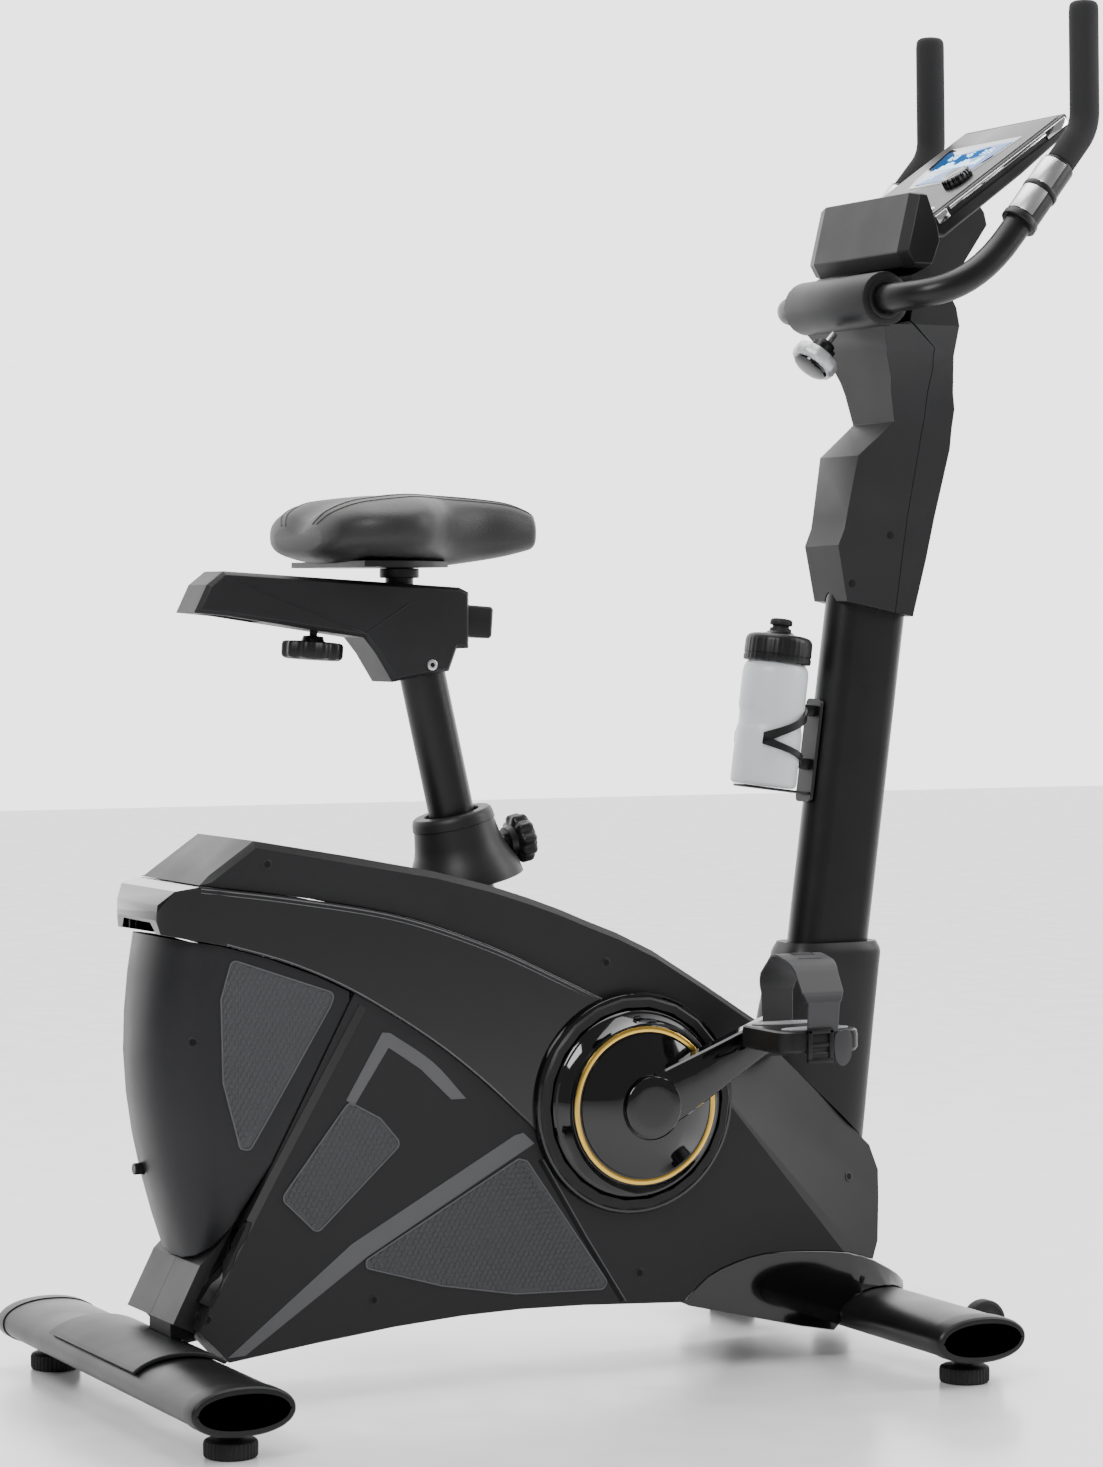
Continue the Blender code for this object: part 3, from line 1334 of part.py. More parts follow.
def build_shrouds():
    back = [
        head(x, z)
        for x, z in (
            (0.8450, 1.1400), (0.858, 1.118), (0.872, 1.085), (0.883, 1.036), (0.838, 0.998),
            (0.8235, 0.917), (0.8155, 0.898), (0.8275, 0.836),
        )
    ]
    rear = part("mast_shroud_rear", slab(split_line()[1:] + back, -0.1, 0.1), "casing_matte")
    join(rear, rod(BAR - Y_AXIS * HEAD_HALF, BAR + Y_AXIS * HEAD_HALF, 0.030, 36))
    front_points = [
        head(x, z)
        for x, z in (
            (0.8780, 1.1460), (0.8830, 1.1720), (0.8790, 1.1960), (0.900, 1.2060), (0.925, 1.1850),
            (0.938, 1.1620), (0.9605, 1.0520), (0.9575, 1.0070), (0.9305, 0.885), (0.9135, 0.8190),
        )
    ]
    front = part(
        "mast_shroud_front", slab(split_line(SEAM)[1:-1] + front_points, -0.1, 0.1), "casing_matte",
    )
    for shell in (rear, front):
        keep(shell, front_slab(flare(), 0.2, 2.0))
        cut(shell, mast_bar(0.5, MAST_END + 0.004, MAST_GAP),
            slab(shrink(neck_outline(), -0.0012), -(NECK_HALF + 0.0008), NECK_HALF + 0.0008))
    arm = [
        head(x, z)
        for x, z in (
            (0.905, 1.195), (0.930, 1.160), (0.943, 1.172), (1.004, 1.2600), (1.0005, 1.2740),
            (0.990, 1.2875), (0.903, 1.2220),
        )
    ]
    join(front, slab(arm, -0.045, 0.045))
    cut(front, rod(BAR - Y_AXIS * 0.2, BAR + Y_AXIS * 0.2, 0.030 + SEAM, 36))
    cut(rear, rod(
        BAR - Y_AXIS * (SLEEVE_HALF + 0.001), BAR + Y_AXIS * (SLEEVE_HALF + 0.001),
        SLEEVE_RADIUS + SEAM, 28,
    ),
        rod(BAR - Y_AXIS * 0.2, BAR + Y_AXIS * 0.2, BAR_RADIUS + 0.0012, 28),
        rod(KNOB_NECK - KNOB_OUT * 0.0165, KNOB_NECK + KNOB_OUT * 0.1, 0.0055, 18))


def build_handlebar_knob():
    profile = [
        (-0.0150, 0.0042), (0.0105, 0.0042), (0.0110, 0.0100), (0.0160, 0.0100), (0.0165, 0.0145),
        (0.0270, 0.0150), (0.0275, 0.0225), (0.0300, KNOB_RADIUS), (0.0430, KNOB_RADIUS),
        (0.0480, 0.0235), (0.0505, 0.0120),
    ]
    part("handlebar_knob", turned(KNOB_NECK, KNOB_OUT, profile, 32), "casing_dark", KNOB_NECK)


# Console -----------------------------------------------------------------------------------------------------

FACE_LOW = at(head(0.8900, 1.2560))
FACE_HIGH = at(head(1.0700, 1.3830))
FACE_ALONG = (FACE_HIGH - FACE_LOW).normalized()
FACE_OUT = FACE_ALONG.cross(Y_AXIS)
FACE_THICK = 0.004
DIAL = FACE_LOW + FACE_ALONG * 0.083 - Y_AXIS * 0.060
BUTTONS = ((0.022, -0.030), (0.022, -0.055), (0.022, -0.080))


def face_point(along, out):
    point = FACE_LOW + FACE_ALONG * along + FACE_OUT * out
    return (point.x, point.z)


def build_console():
    length = (FACE_HIGH - FACE_LOW).length
    body = [
        face_point(0, 0), face_point(length, 0), face_point(length + 0.001, -0.004),
        face_point(length - 0.012, -0.020), face_point(length * 0.6, -0.025), face_point(0.006, -0.027),
        face_point(-0.004, -0.020),
    ]
    slim = shrink(body, 0.003)
    rings = [
        (slim, -CONSOLE_HALF), (body, 0.003 - CONSOLE_HALF), (body, CONSOLE_HALF - 0.003),
        (slim, CONSOLE_HALF),
    ]
    shell = part("console_shell", loft([[at(p, y) for p in shape] for shape, y in rings]), "casing_dark")
    chin = [
        head(x, z)
        for x, z in (
            (0.8730, 1.2870), (0.8570, 1.2200), (0.8670, 1.2035), (0.8950, 1.2035), (0.9060, 1.2330),
            (0.9020, 1.2520), (0.8880, 1.2870),
        )
    ]
    wide = shrink(chin, 0.0005)
    narrow = [(x + 0.001, z) for x, z in shrink(chin, 0.004)]
    blocks = [(narrow, -0.107), (wide, -0.090), (wide, 0.090), (narrow, 0.107)]
    join(shell, loft([[at(p, y) for p in shape] for shape, y in blocks]))
    pocket = [
        face_point(0.006, 0.01), face_point(0.006, -0.018), face_point(length - 0.012, -0.014),
        face_point(length - 0.012, 0.01),
    ]
    recess = [
        face_point(0.004, 0.01), face_point(0.004, -FACE_THICK - GAP),
        face_point(length - 0.0055, -FACE_THICK - GAP), face_point(length - 0.0055, 0.01),
    ]
    cut(shell, slab(recess, -(CONSOLE_HALF - 0.007), CONSOLE_HALF - 0.007), slab(pocket, -0.090, 0.090))
    plate = [
        face_point(0.0045, 0.0006), face_point(0.0045, -FACE_THICK),
        face_point(length - 0.006, -FACE_THICK), face_point(length - 0.006, 0.0006),
    ]
    face = part("console_face", slab(plate, -(CONSOLE_HALF - 0.0075), CONSOLE_HALF - 0.0075), "screen")
    cut(face, rod(DIAL - FACE_OUT * 0.02, DIAL + FACE_OUT * 0.02, 0.0045, 16))
    for along, y in BUTTONS:
        spot = at(face_point(along, 0), y)
        cut(face, rod(spot - FACE_OUT * 0.02, spot + FACE_OUT * 0.02, 0.0085, 20))


def build_controls():
    part(
        "console_dial",
        turned(
            DIAL, FACE_OUT,
            [(-0.0100, 0.0040), (0.0014, 0.0040), (0.0015, 0.0180), (0.0110, 0.0175), (0.0130, 0.0150)],
            28,
        ),
        "casing_dark", DIAL,
    )
    for index, (along, y) in enumerate(BUTTONS):
        spot = at(face_point(along, 0), y)
        name = ("console_button_reset", "console_button_mode", "console_button_set")[index]
        part(
            name, turned(spot, FACE_OUT, [(-0.0060, 0.0080), (0.0018, 0.0080), (0.0026, 0.0070)], 24),
            "casing_dark", spot,
        )


# Bottle ------------------------------------------------------------------------------------------------------

BOTTLE_FOOT = mast_point(
    0.6175 - DRAWN_MAST_TOP[1] + MAST_TOP.z
) - MAST_AHEAD * (MAST_DEPTH / 2 + BOTTLE_OFF_MAST)


def build_bottle():
    high = BOTTLE_HEIGHT - 0.004
    shoulder = high - 0.0005
    profile = [
        (0, BOTTLE_RADIUS - 0.004), (0.003, BOTTLE_RADIUS), (0.060, BOTTLE_RADIUS),
        (0.066, BOTTLE_RADIUS - 0.002), (0.082, BOTTLE_RADIUS - 0.002), (0.088, BOTTLE_RADIUS),
        (shoulder - 0.006, BOTTLE_RADIUS), (shoulder, BOTTLE_RADIUS - 0.004), (shoulder, 0.0290),
        (shoulder + 0.016, 0.0290),
    ]
    bottle = part("bottle", turned(BOTTLE_FOOT, MAST_UP, profile, 32), "bottle_clear", BOTTLE_FOOT)
    inside = [
        (0.0025, 0.0320), (0.060, 0.0345), (0.066, 0.0325), (0.082, 0.0325), (0.088, 0.0345),
        (shoulder - 0.008, 0.0345), (shoulder - 0.002, 0.0265), (shoulder + 0.03, 0.0265),
    ]
    cut(bottle, turned(BOTTLE_FOOT, MAST_UP, inside, 28))
    base = BOTTLE_FOOT + MAST_UP * (shoulder + GAP + 0.0002)
    lid = part(
        "bottle_lid",
        turned(
            base, MAST_UP,
            [
                (0, 0.0370), (0.002, 0.0378), (0.024, 0.0378), (0.030, 0.0350), (0.031, 0.0180),
                (0.034, 0.0130), (0.046, 0.0120), (0.049, 0.0100),
            ],
            32,
        ),
        "casing_dark", base,
    )
    cut(lid, rod(base - MAST_UP * 0.01, base + MAST_UP * 0.0170, 0.0290 + SLIDE, 28))


def build_cage():
    """A back plate on the mast, two arms round the bottle and a tongue under it."""
    back = BOTTLE_OFF_MAST - SEAM

    def spot(ahead, y, up):
        return BOTTLE_FOOT + MAST_AHEAD * ahead + Y_AXIS * y + MAST_UP * up

    rings = [
        [
            spot(a, y, s)
            for a, y in ((back - 0.004, -0.016), (back - 0.004, 0.016), (back, 0.016), (back, -0.016))
        ]
        for s in (-0.012, 0.104)
    ]
    cage = part("bottle_cage", loft(rings), "casing_dark")
    low = BOTTLE_RADIUS + 0.0009
    rings = []
    for k in range(17):
        angle = math.radians(-128 + 256 * k / 16)
        height = 0.066 - 0.010 * math.cos(angle)
        corners = (
            (low, height - 0.006), (low + 0.0030, height - 0.006), (low + 0.0030, height + 0.006),
            (low, height + 0.006),
        )
        rings.append([spot(r * math.cos(angle), r * math.sin(angle), s) for r, s in corners])
    join(cage, loft(rings))
    bridge = (
        (low + 0.0010, 0.0515), (back - 0.002, 0.0515), (back - 0.002, 0.0605), (low + 0.0010, 0.0605),
    )
    join(cage, loft([[spot(a, y, s) for a, s in bridge] for y in (-0.010, 0.010)]))
    tongue = [
        [
            spot(a, y, s)
            for a, s in (
                (-0.030, -0.0040), (back - 0.002, -0.0040), (back - 0.002, -0.0008), (-0.030, -0.0008),
            )
        ]
        for y in (-0.014, 0.014)
    ]
    join(cage, loft(tongue))


# Seat --------------------------------------------------------------------------------------------------------

SLIDE_MIDDLE = at(perch(0.398, 0.8125))
POST_ON_RAIL = at(perch(0.297, 0.8196))


def on_slide(along, y, up):
    return SLIDE_MIDDLE + SLIDE_AHEAD * along + Y_AXIS * y + SLIDE_UP * up


def slide_box(start, end, half, low, high):
    rings = [
        [on_slide(s, y, u) for y, u in ((-half, low), (half, low), (half, high), (-half, high))]
        for s in (start, end)
    ]
    return loft(rings)


def build_seat_post():
    top = SEAT_TOP + SEAT_UP * 0.030
    bottom = SEAT_MOUTH - SEAT_UP * 0.240
    post = part(
        "seat_post", rod(bottom, top, SEAT_POST_RADIUS, 32, bore=SEAT_POST_RADIUS - SEAT_POST_WALL),
        "tube_black", SEAT_MOUTH,
    )
    for k in range(9):
        spot = PIN_SEAT + SEAT_UP * (0.025 * (k - 6))
        cut(post, rod(spot + PIN_OUT * 0.015, spot + PIN_OUT * 0.04, 0.0048, 14))


def build_post_knob():
    start = PIN_SEAT
    edge = SEAT_POST_RADIUS + 0.0009
    profile = [
        (edge, 0.0042), (edge + 0.0070, 0.0046), (edge + 0.0075, 0.0088), (0.0560, 0.0088),
        (0.0562, 0.0160), (0.0640, 0.0170), (0.0645, 0.0245), (0.0670, KNOB_RADIUS),
        (0.0790, KNOB_RADIUS), (0.0835, 0.0230), (0.0855, 0.0120),
    ]
    part("seat_post_knob", turned(start, PIN_OUT, profile, 32), "casing_dark", start)


def build_slider_shroud():
    points = (
        (0.054, 0.823), (0.092, 0.8195), (0.182, 0.8060), (0.244, 0.7970), (0.258, 0.7800),
        (0.277, 0.7500), (0.343, 0.7615), (0.352, 0.7850), (0.366, 0.7855), (0.366, 0.8450),
        (0.355, 0.8500), (0.086, 0.8660), (0.068, 0.8520),
    )
    outline = [perch(x, z) for x, z in points]
    slim = shrink(outline, 0.004)
    half = 0.0310
    rings = [(slim, -half), (outline, 0.005 - half), (outline, half - 0.005), (slim, half)]
    shroud = part(
        "slider_shroud", loft([[at(p, y) for p in shape] for shape, y in rings]), "casing_matte",
        SEAT_MOUTH,
    )
    reach = RAIL_HEIGHT / 2 + SLIDE
    cut(shroud, slide_box(-0.325, 0.05, 0.0175 + SLIDE, -reach, reach),
        rod(SEAT_TOP - SEAT_UP * 0.05, SEAT_TOP + SEAT_UP * 0.0305, SEAT_POST_RADIUS + GAP, 32))
    post = (POST_ON_RAIL - SLIDE_MIDDLE).dot(SLIDE_AHEAD)
    slot_low = post - SLIDE_BACK - SADDLE_POST - SLOT_MARGIN
    slot_high = post + SLIDE_FORWARD + SADDLE_POST + SLOT_MARGIN
    cut(shroud, slide_box(slot_low, slot_high, SADDLE_POST + 0.002, 0.0, 0.08))
    cut(shroud, rod(SLIDER_KNOB - SLIDE_UP * 0.05, SLIDER_KNOB + SLIDE_UP * 0.05, 0.0048, 16))


SLIDER_KNOB = at(perch(0.198, 0.8020))


def build_slider_knob():
    up = (SLIDER_KNOB - SLIDE_MIDDLE).dot(SLIDE_UP)
    tip = -(RAIL_HEIGHT / 2) - 0.0012 - up
    profile = [
        (-tip * 1.0, 0.0042), (0.0030, 0.0042), (0.0035, 0.0110), (0.0090, 0.0120), (0.0095, 0.0300),
        (0.0125, 0.0325), (0.0245, 0.0325), (0.0285, 0.0290),
    ]
    part("slider_knob", turned(SLIDER_KNOB, -SLIDE_UP, profile, 32), "casing_dark", SLIDER_KNOB)


def build_slider_rail():
    half_height = RAIL_HEIGHT / 2
    section = (
        (-0.0175, -half_height), (0.0175, -half_height), (0.0175, half_height), (-0.0175, half_height),
    )
    inner = tuple((y * (1 - 0.0025 / 0.0175), u * (1 - 0.0025 / half_height)) for y, u in section)
    rings = [[on_slide(s, y, u) for y, u in section] for s in (-0.238, 0.0)]
    hollow = [[on_slide(s, y, u) for y, u in inner] for s in (-0.238, 0.0)]
    rail = part("slider_rail", loft(rings, hollow), "tube_black", SLIDE_MIDDLE)
    seat = perch(0, 0.8700)[1]
    join(rail, rod(
        POST_ON_RAIL + Vector((0, 0, half_height - 0.0010)), Vector((POST_ON_RAIL.x, 0, seat - 0.001)),
        SADDLE_POST, 24,
    ),
         block((POST_ON_RAIL.x - 0.035, -0.022, seat - 0.0035), (POST_ON_RAIL.x + 0.035, 0.022, seat)))


def build_saddle():
    """Two broad lobes behind a nose, as one padded body."""
    stations = (
        (0.180, 0.066, 0.888, 0.916), (0.192, 0.100, 0.880, 0.931), (0.214, 0.121, 0.875, 0.941),
        (0.245, 0.130, 0.8725, 0.946), (0.275, 0.124, 0.8715, 0.949), (0.303, 0.098, 0.8715, 0.949),
        (0.330, 0.062, 0.8715, 0.948), (0.370, 0.045, 0.876, 0.946), (0.410, 0.039, 0.882, 0.942),
        (0.437, 0.031, 0.888, 0.934), (0.453, 0.014, 0.895, 0.920),
    )
    rings = []
    for x, half, low, high in stations:
        px, low = perch(x, low)
        high = perch(x, high)[1]
        section = oval(2 * half, high - low, 28, 2.5)
        rings.append(ring(Vector((px, 0, (low + high) / 2)), Y_AXIS, Vector((0, 0, 1)), section))
    bottom = perch(0, 0.8705)[1]
    for points in rings:
        for p in points:
            p.z = max(p.z, bottom)
    part("saddle_cushion", loft(rings), "leatherette", SLIDE_MIDDLE)


def build_inlet():
    start = INLET - Vector((0.0080, 0, 0))
    part(
        "power_inlet",
        turned(
            start, Vector((1, 0, 0)),
            [(0, 0.0055), (0.0010, 0.0062), (0.0150, 0.0062), (0.0155, 0.0085), (0.0200, 0.0085)], 20,
        ),
        "casing_dark",
    )


PIECES = (
    (build_frame,), (build_mast_boot,), (build_arch_band,), (build_top_cover,), (build_tail_cover,),
    (build_side_covers,),
    (build_foot_cover,), (build_front_cowl,), (build_stabilizer, 0.0, "rear_stabilizer"),
    (build_spindle,), (build_pulley,), (build_belt,), (build_flywheel,), (build_brake,), (build_servo,),
    (build_handlebar,), (build_mast,), (build_shrouds,), (
        build_handlebar_knob,
    ), (build_console,), (build_controls,),
    (build_bottle,), (build_cage,), (build_seat_post,), (build_post_knob,), (build_slider_shroud,),
    (build_slider_knob,), (build_slider_rail,), (build_saddle,), (build_inlet,),
)
for build, *values in PIECES:
    build(*values)
build_wheel_brackets(build_stabilizer(WHEELBASE, "front_stabilizer"))
for hand_name, hand_sign in (("right", -1), ("left", 1)):
    build_end_cap(0.0, hand_sign, f"rear_end_cap_{hand_name}")
    build_end_cap(WHEELBASE, hand_sign, f"front_end_cap_{hand_name}")
    build_foot(0.0, hand_sign, f"rear_foot_{hand_name}")
    build_foot(WHEELBASE, hand_sign, f"front_foot_{hand_name}")
    build_wheel(hand_sign, f"transport_wheel_{hand_name}")
    build_crank(hand_sign, f"crank_{hand_name}")
    build_disc(hand_sign, f"crank_disc_{hand_name}")
    build_pedal(hand_sign, f"pedal_{hand_name}")
    build_strap(hand_sign, f"pedal_strap_{hand_name}")
    build_grip(hand_sign, f"hand_grip_{hand_name}")
    build_sensor(hand_sign, f"pulse_sensor_{hand_name}")
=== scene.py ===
"""The exercise bike as it looks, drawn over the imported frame."""

import json
import math

import bmesh
import bpy
from mathutils import Matrix, Vector
from mathutils.bvhtree import BVHTree

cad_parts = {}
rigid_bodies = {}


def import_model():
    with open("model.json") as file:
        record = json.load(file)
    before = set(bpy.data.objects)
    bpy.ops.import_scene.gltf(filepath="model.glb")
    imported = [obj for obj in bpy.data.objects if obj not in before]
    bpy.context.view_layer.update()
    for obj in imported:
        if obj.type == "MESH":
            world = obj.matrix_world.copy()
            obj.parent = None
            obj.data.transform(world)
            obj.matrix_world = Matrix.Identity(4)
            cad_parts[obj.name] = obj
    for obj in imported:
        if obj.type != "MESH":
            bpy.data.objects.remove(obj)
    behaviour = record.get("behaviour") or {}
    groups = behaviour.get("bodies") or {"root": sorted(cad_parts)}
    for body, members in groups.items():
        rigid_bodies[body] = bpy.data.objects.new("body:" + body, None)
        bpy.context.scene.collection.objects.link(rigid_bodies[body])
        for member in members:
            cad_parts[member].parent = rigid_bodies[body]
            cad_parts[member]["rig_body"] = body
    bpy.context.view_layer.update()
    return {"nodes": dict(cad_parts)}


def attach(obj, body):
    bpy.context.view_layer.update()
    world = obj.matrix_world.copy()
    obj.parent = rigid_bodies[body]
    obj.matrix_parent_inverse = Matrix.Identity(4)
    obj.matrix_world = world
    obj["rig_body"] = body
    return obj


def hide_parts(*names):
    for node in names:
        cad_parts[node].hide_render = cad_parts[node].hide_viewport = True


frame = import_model()
NODES = frame["nodes"]

REAR_TO_MIDDLE = 0.5095
RIGHT, LEFT = -1, 1
SIDES = ((RIGHT, "right"), (LEFT, "left"))
X, Y, Z = Vector((1, 0, 0)), Vector((0, 1, 0)), Vector((0, 0, 1))


def place(x, y, z):
    """A point measured from the rear feet, the middle of the bike and the floor."""
    return Vector((x - REAR_TO_MIDDLE, y, z))


CRANK = place(0.530, 0, 0.299)
CRANK_ALONG = Vector((math.cos(math.radians(26.5)), 0, math.sin(math.radians(26.5))))
MAST_FOOT = place(0.823, 0, 0.447)
MAST_UP = (place(0.872, 0, 0.825) - MAST_FOOT).normalized()
MAST_AHEAD = Vector((MAST_UP.z, 0, -MAST_UP.x))
SEAT_MOUTH = place(0.358, 0, 0.609)
SEAT_UP = Vector((-math.sin(math.radians(13)), 0, math.cos(math.radians(13))))
PIN_OUT = Vector((SEAT_UP.z, 0, -SEAT_UP.x))
PIN_SEAT = SEAT_MOUTH - SEAT_UP * 0.046
SLIDE_AHEAD = Vector((math.cos(math.radians(4)), 0, -math.sin(math.radians(4))))
SLIDE_UP = Vector((-SLIDE_AHEAD.z, 0, SLIDE_AHEAD.x))
SLIDE_MIDDLE = place(0.398, 0, 0.8125)
BAR = place(0.846, 0, 1.169)
KNOB_NECK = place(0.829, 0, 1.132)
KNOB_OUT = Vector((-0.64, 0, -0.77)).normalized()
FACE_LOW = place(0.890, 0, 1.256)
FACE_HIGH = place(1.070, 0, 1.383)
FACE_ALONG = (FACE_HIGH - FACE_LOW).normalized()
FACE_OUT = FACE_ALONG.cross(Y)


# Finishes -------------------------------------------------------------------------------------------------


DARK_BELOW = 0.03
DARK_SHINE = 0.30


def node_link(tree, source, output, target, name):
    tree.links.new(source.outputs[output], target.inputs[name])


def finish(
    name, colour, rough, metallic=0.0, grain=900.0, bump=0.10, depth=0.0002, vary=0.05, tint=0.12,
    coat=0.0, stretch=None, leather=False, clear=0.0, glow=0.0,
):
    """A procedural finish: a broad unevenness in colour and gloss, and a fine grain in the surface."""
    material = bpy.data.materials.new(name)
    material.use_nodes = True
    tree = material.node_tree
    shader = tree.nodes["Principled BSDF"]
    where = tree.nodes.new("ShaderNodeTexCoord")
    broad = tree.nodes.new("ShaderNodeTexNoise")
    broad.inputs["Scale"].default_value = 14.0
    broad.inputs["Detail"].default_value = 3.0
    fine = tree.nodes.new("ShaderNodeTexVoronoi" if leather else "ShaderNodeTexNoise")
    fine.inputs["Scale"].default_value = grain
    if not leather:
        fine.inputs["Detail"].default_value = 2.0
    node_link(tree, where, "Object", broad, "Vector")
    if stretch:
        mapping = tree.nodes.new("ShaderNodeMapping")
        mapping.inputs["Scale"].default_value = stretch
        node_link(tree, where, "Object", mapping, "Vector")
        node_link(tree, mapping, "Vector", fine, "Vector")
    else:
        node_link(tree, where, "Object", fine, "Vector")
    fine_out = "Distance" if leather else "Fac"
    blend = tree.nodes.new("ShaderNodeMix")
    blend.data_type = "RGBA"
    blend.inputs["A"].default_value = (*[c * (1 - tint) for c in colour], 1)
    blend.inputs["B"].default_value = (*[min(c * (1 + tint), 1) for c in colour], 1)
    tree.links.new(broad.outputs["Fac"], blend.inputs["Factor"])
    tree.links.new(blend.outputs["Result"], shader.inputs["Base Color"])
    gloss = tree.nodes.new("ShaderNodeMapRange")
    gloss.inputs["From Min"].default_value = 0.3
    gloss.inputs["From Max"].default_value = 0.7
    gloss.inputs["To Min"].default_value = max(rough - vary, 0.02)
    gloss.inputs["To Max"].default_value = min(rough + vary, 1.0)
    tree.links.new(broad.outputs["Fac"], gloss.inputs["Value"])
    tree.links.new(gloss.outputs["Result"], shader.inputs["Roughness"])
    relief = tree.nodes.new("ShaderNodeBump")
    relief.inputs["Strength"].default_value = bump
    relief.inputs["Distance"].default_value = depth
    tree.links.new(fine.outputs[fine_out], relief.inputs["Height"])
    tree.links.new(relief.outputs["Normal"], shader.inputs["Normal"])
    shader.inputs["Metallic"].default_value = metallic
    if max(colour) < DARK_BELOW:
        shader.inputs["Specular IOR Level"].default_value = DARK_SHINE
    shader.inputs["Coat Weight"].default_value = coat
    shader.inputs["Coat Roughness"].default_value = 0.04
    shader.inputs["Transmission Weight"].default_value = clear
    if glow:
        shader.inputs["Emission Color"].default_value = (*colour, 1)
        shader.inputs["Emission Strength"].default_value = glow
    return material


MATTE = finish("satin_black_casing", (0.010, 0.010, 0.011), 0.44, grain=1400, bump=0.12, vary=0.04)
TAIL = finish("satin_dark_tail", (0.011, 0.011, 0.0125), 0.40, grain=1400, bump=0.10, vary=0.04)
GLOSS = finish("gloss_black_casing", (0.002, 0.002, 0.0025), 0.08, grain=300, bump=0.01, vary=0.03, coat=0.6)
TUBE = finish("black_powder_coat", (0.006, 0.006, 0.0065), 0.35, grain=1700, bump=0.14, vary=0.05)
DARK = finish("black_plastic", (0.007, 0.007, 0.0075), 0.40, grain=1200, bump=0.10)
GRILLE = finish("grille_grey", (0.045, 0.046, 0.050), 0.50, grain=1000, bump=0.10)
# Near black painted shade for the floors of the grille's sunk cells, standing for the dark inside the holes.
CELL_SHADE = finish("grille_hole_shade", (0.006, 0.006, 0.007), 0.65, grain=1000, bump=0.10)
# Grey print; also used as a painted highlight on the lit lip of the side panel's crease.
PRINT_AND_HIGHLIGHT = finish("grey_print_and_painted_highlight", (0.075, 0.075, 0.080), 0.42, grain=1500, bump=0.05)
# Near black painted shade, laid where shade falls in screw wells, holes, grooves and creases.
PAINTED_SHADE = finish("seam_shadow", (0.002, 0.002, 0.002), 0.85, grain=900, bump=0.05)
# Light grey painted highlight along the rounded edges of the gloss arch band.
EDGE_HIGHLIGHT = finish("painted_edge_highlight", (0.10, 0.10, 0.105), 0.35, grain=900, bump=0.05)
GOLD = finish("gold_ring", (0.78, 0.50, 0.10), 0.24, metallic=1.0, grain=900, bump=0.06, vary=0.05)
STEEL = finish(
    "brushed_steel", (0.62, 0.62, 0.63), 0.28, metallic=1.0, grain=500, bump=0.10, stretch=(1, 40, 1),
)
CHROME = finish("chrome_strip", (0.80, 0.80, 0.82), 0.10, metallic=1.0, grain=400, bump=0.02, vary=0.04)
IRON = finish("cast_iron", (0.16, 0.16, 0.17), 0.55, metallic=1.0, grain=700, bump=0.25)
RUBBER = finish("black_rubber", (0.014, 0.014, 0.014), 0.62, grain=1500, bump=0.25)
STRAP = finish("strap_rubber", (0.030, 0.030, 0.032), 0.50, grain=1300, bump=0.20)
FOAM = finish("foam_grip", (0.016, 0.016, 0.017), 0.80, grain=2600, bump=0.60, depth=0.0003)
LEATHER = finish(
    "saddle_leatherette", (0.021, 0.020, 0.020), 0.46, grain=620, bump=0.42, depth=0.0004, leather=True,
)
THREAD = finish("stitching", (0.040, 0.039, 0.038), 0.70, grain=2500, bump=0.4)
PAD = finish("pedal_pad_grey", (0.30, 0.30, 0.31), 0.55, grain=1200, bump=0.2)
SILVER = finish("knob_ring_silver", (0.50, 0.51, 0.52), 0.42, metallic=0.6, grain=1200, bump=0.1)
BEZEL = finish("console_bezel", (0.115, 0.112, 0.112), 0.34, metallic=0.55, grain=1600, bump=0.08)
LENS = finish(
    "blue_display", (0.008, 0.110, 0.360), 0.08, grain=500, bump=0.01, vary=0.02, glow=0.9, coat=0.8,
)
DIGIT = finish("display_digits", (0.55, 0.85, 1.0), 0.40, grain=500, bump=0.01, glow=1.6)
CLOUDY = finish("cloudy_bottle", (0.80, 0.82, 0.84), 0.34, grain=300, bump=0.06, clear=0.35, tint=0.04)
FLOOR = finish("studio_floor", (0.86, 0.86, 0.87), 0.22, grain=60, bump=0.01, vary=0.04, tint=0.01)


# Shape tools ----------------------------------------------------------------------------------------------


def add(name, bm, body, material, replaces=(), smooth=35.0):
    """A finished piece from a mesh drawn in place, riding on a body and standing for CAD nodes."""
    bmesh.ops.remove_doubles(bm, verts=bm.verts, dist=1e-6)
    bmesh.ops.recalc_face_normals(bm, faces=bm.faces)
    mesh = bpy.data.meshes.new(name)
    bm.to_mesh(mesh)
    bm.free()
    for one in material if isinstance(material, tuple) else (material,):
        mesh.materials.append(one)
    mesh.shade_smooth()
    mesh.set_sharp_from_angle(angle=math.radians(smooth))
    obj = bpy.data.objects.new(name, mesh)
    bpy.context.scene.collection.objects.link(obj)
    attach(obj, body)
    for node in replaces:
        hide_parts(node)
    return obj


def aim(start, axis):
    """The matrix that carries the local Z axis onto an axis through a start point."""
    axis = axis.normalized()
    across = Y if abs(axis.y) < 0.9 else X
    across = (across - axis * across.dot(axis)).normalized()
    turn = Matrix((across, axis.cross(across), axis)).transposed().to_4x4()
    return Matrix.Translation(start) @ turn


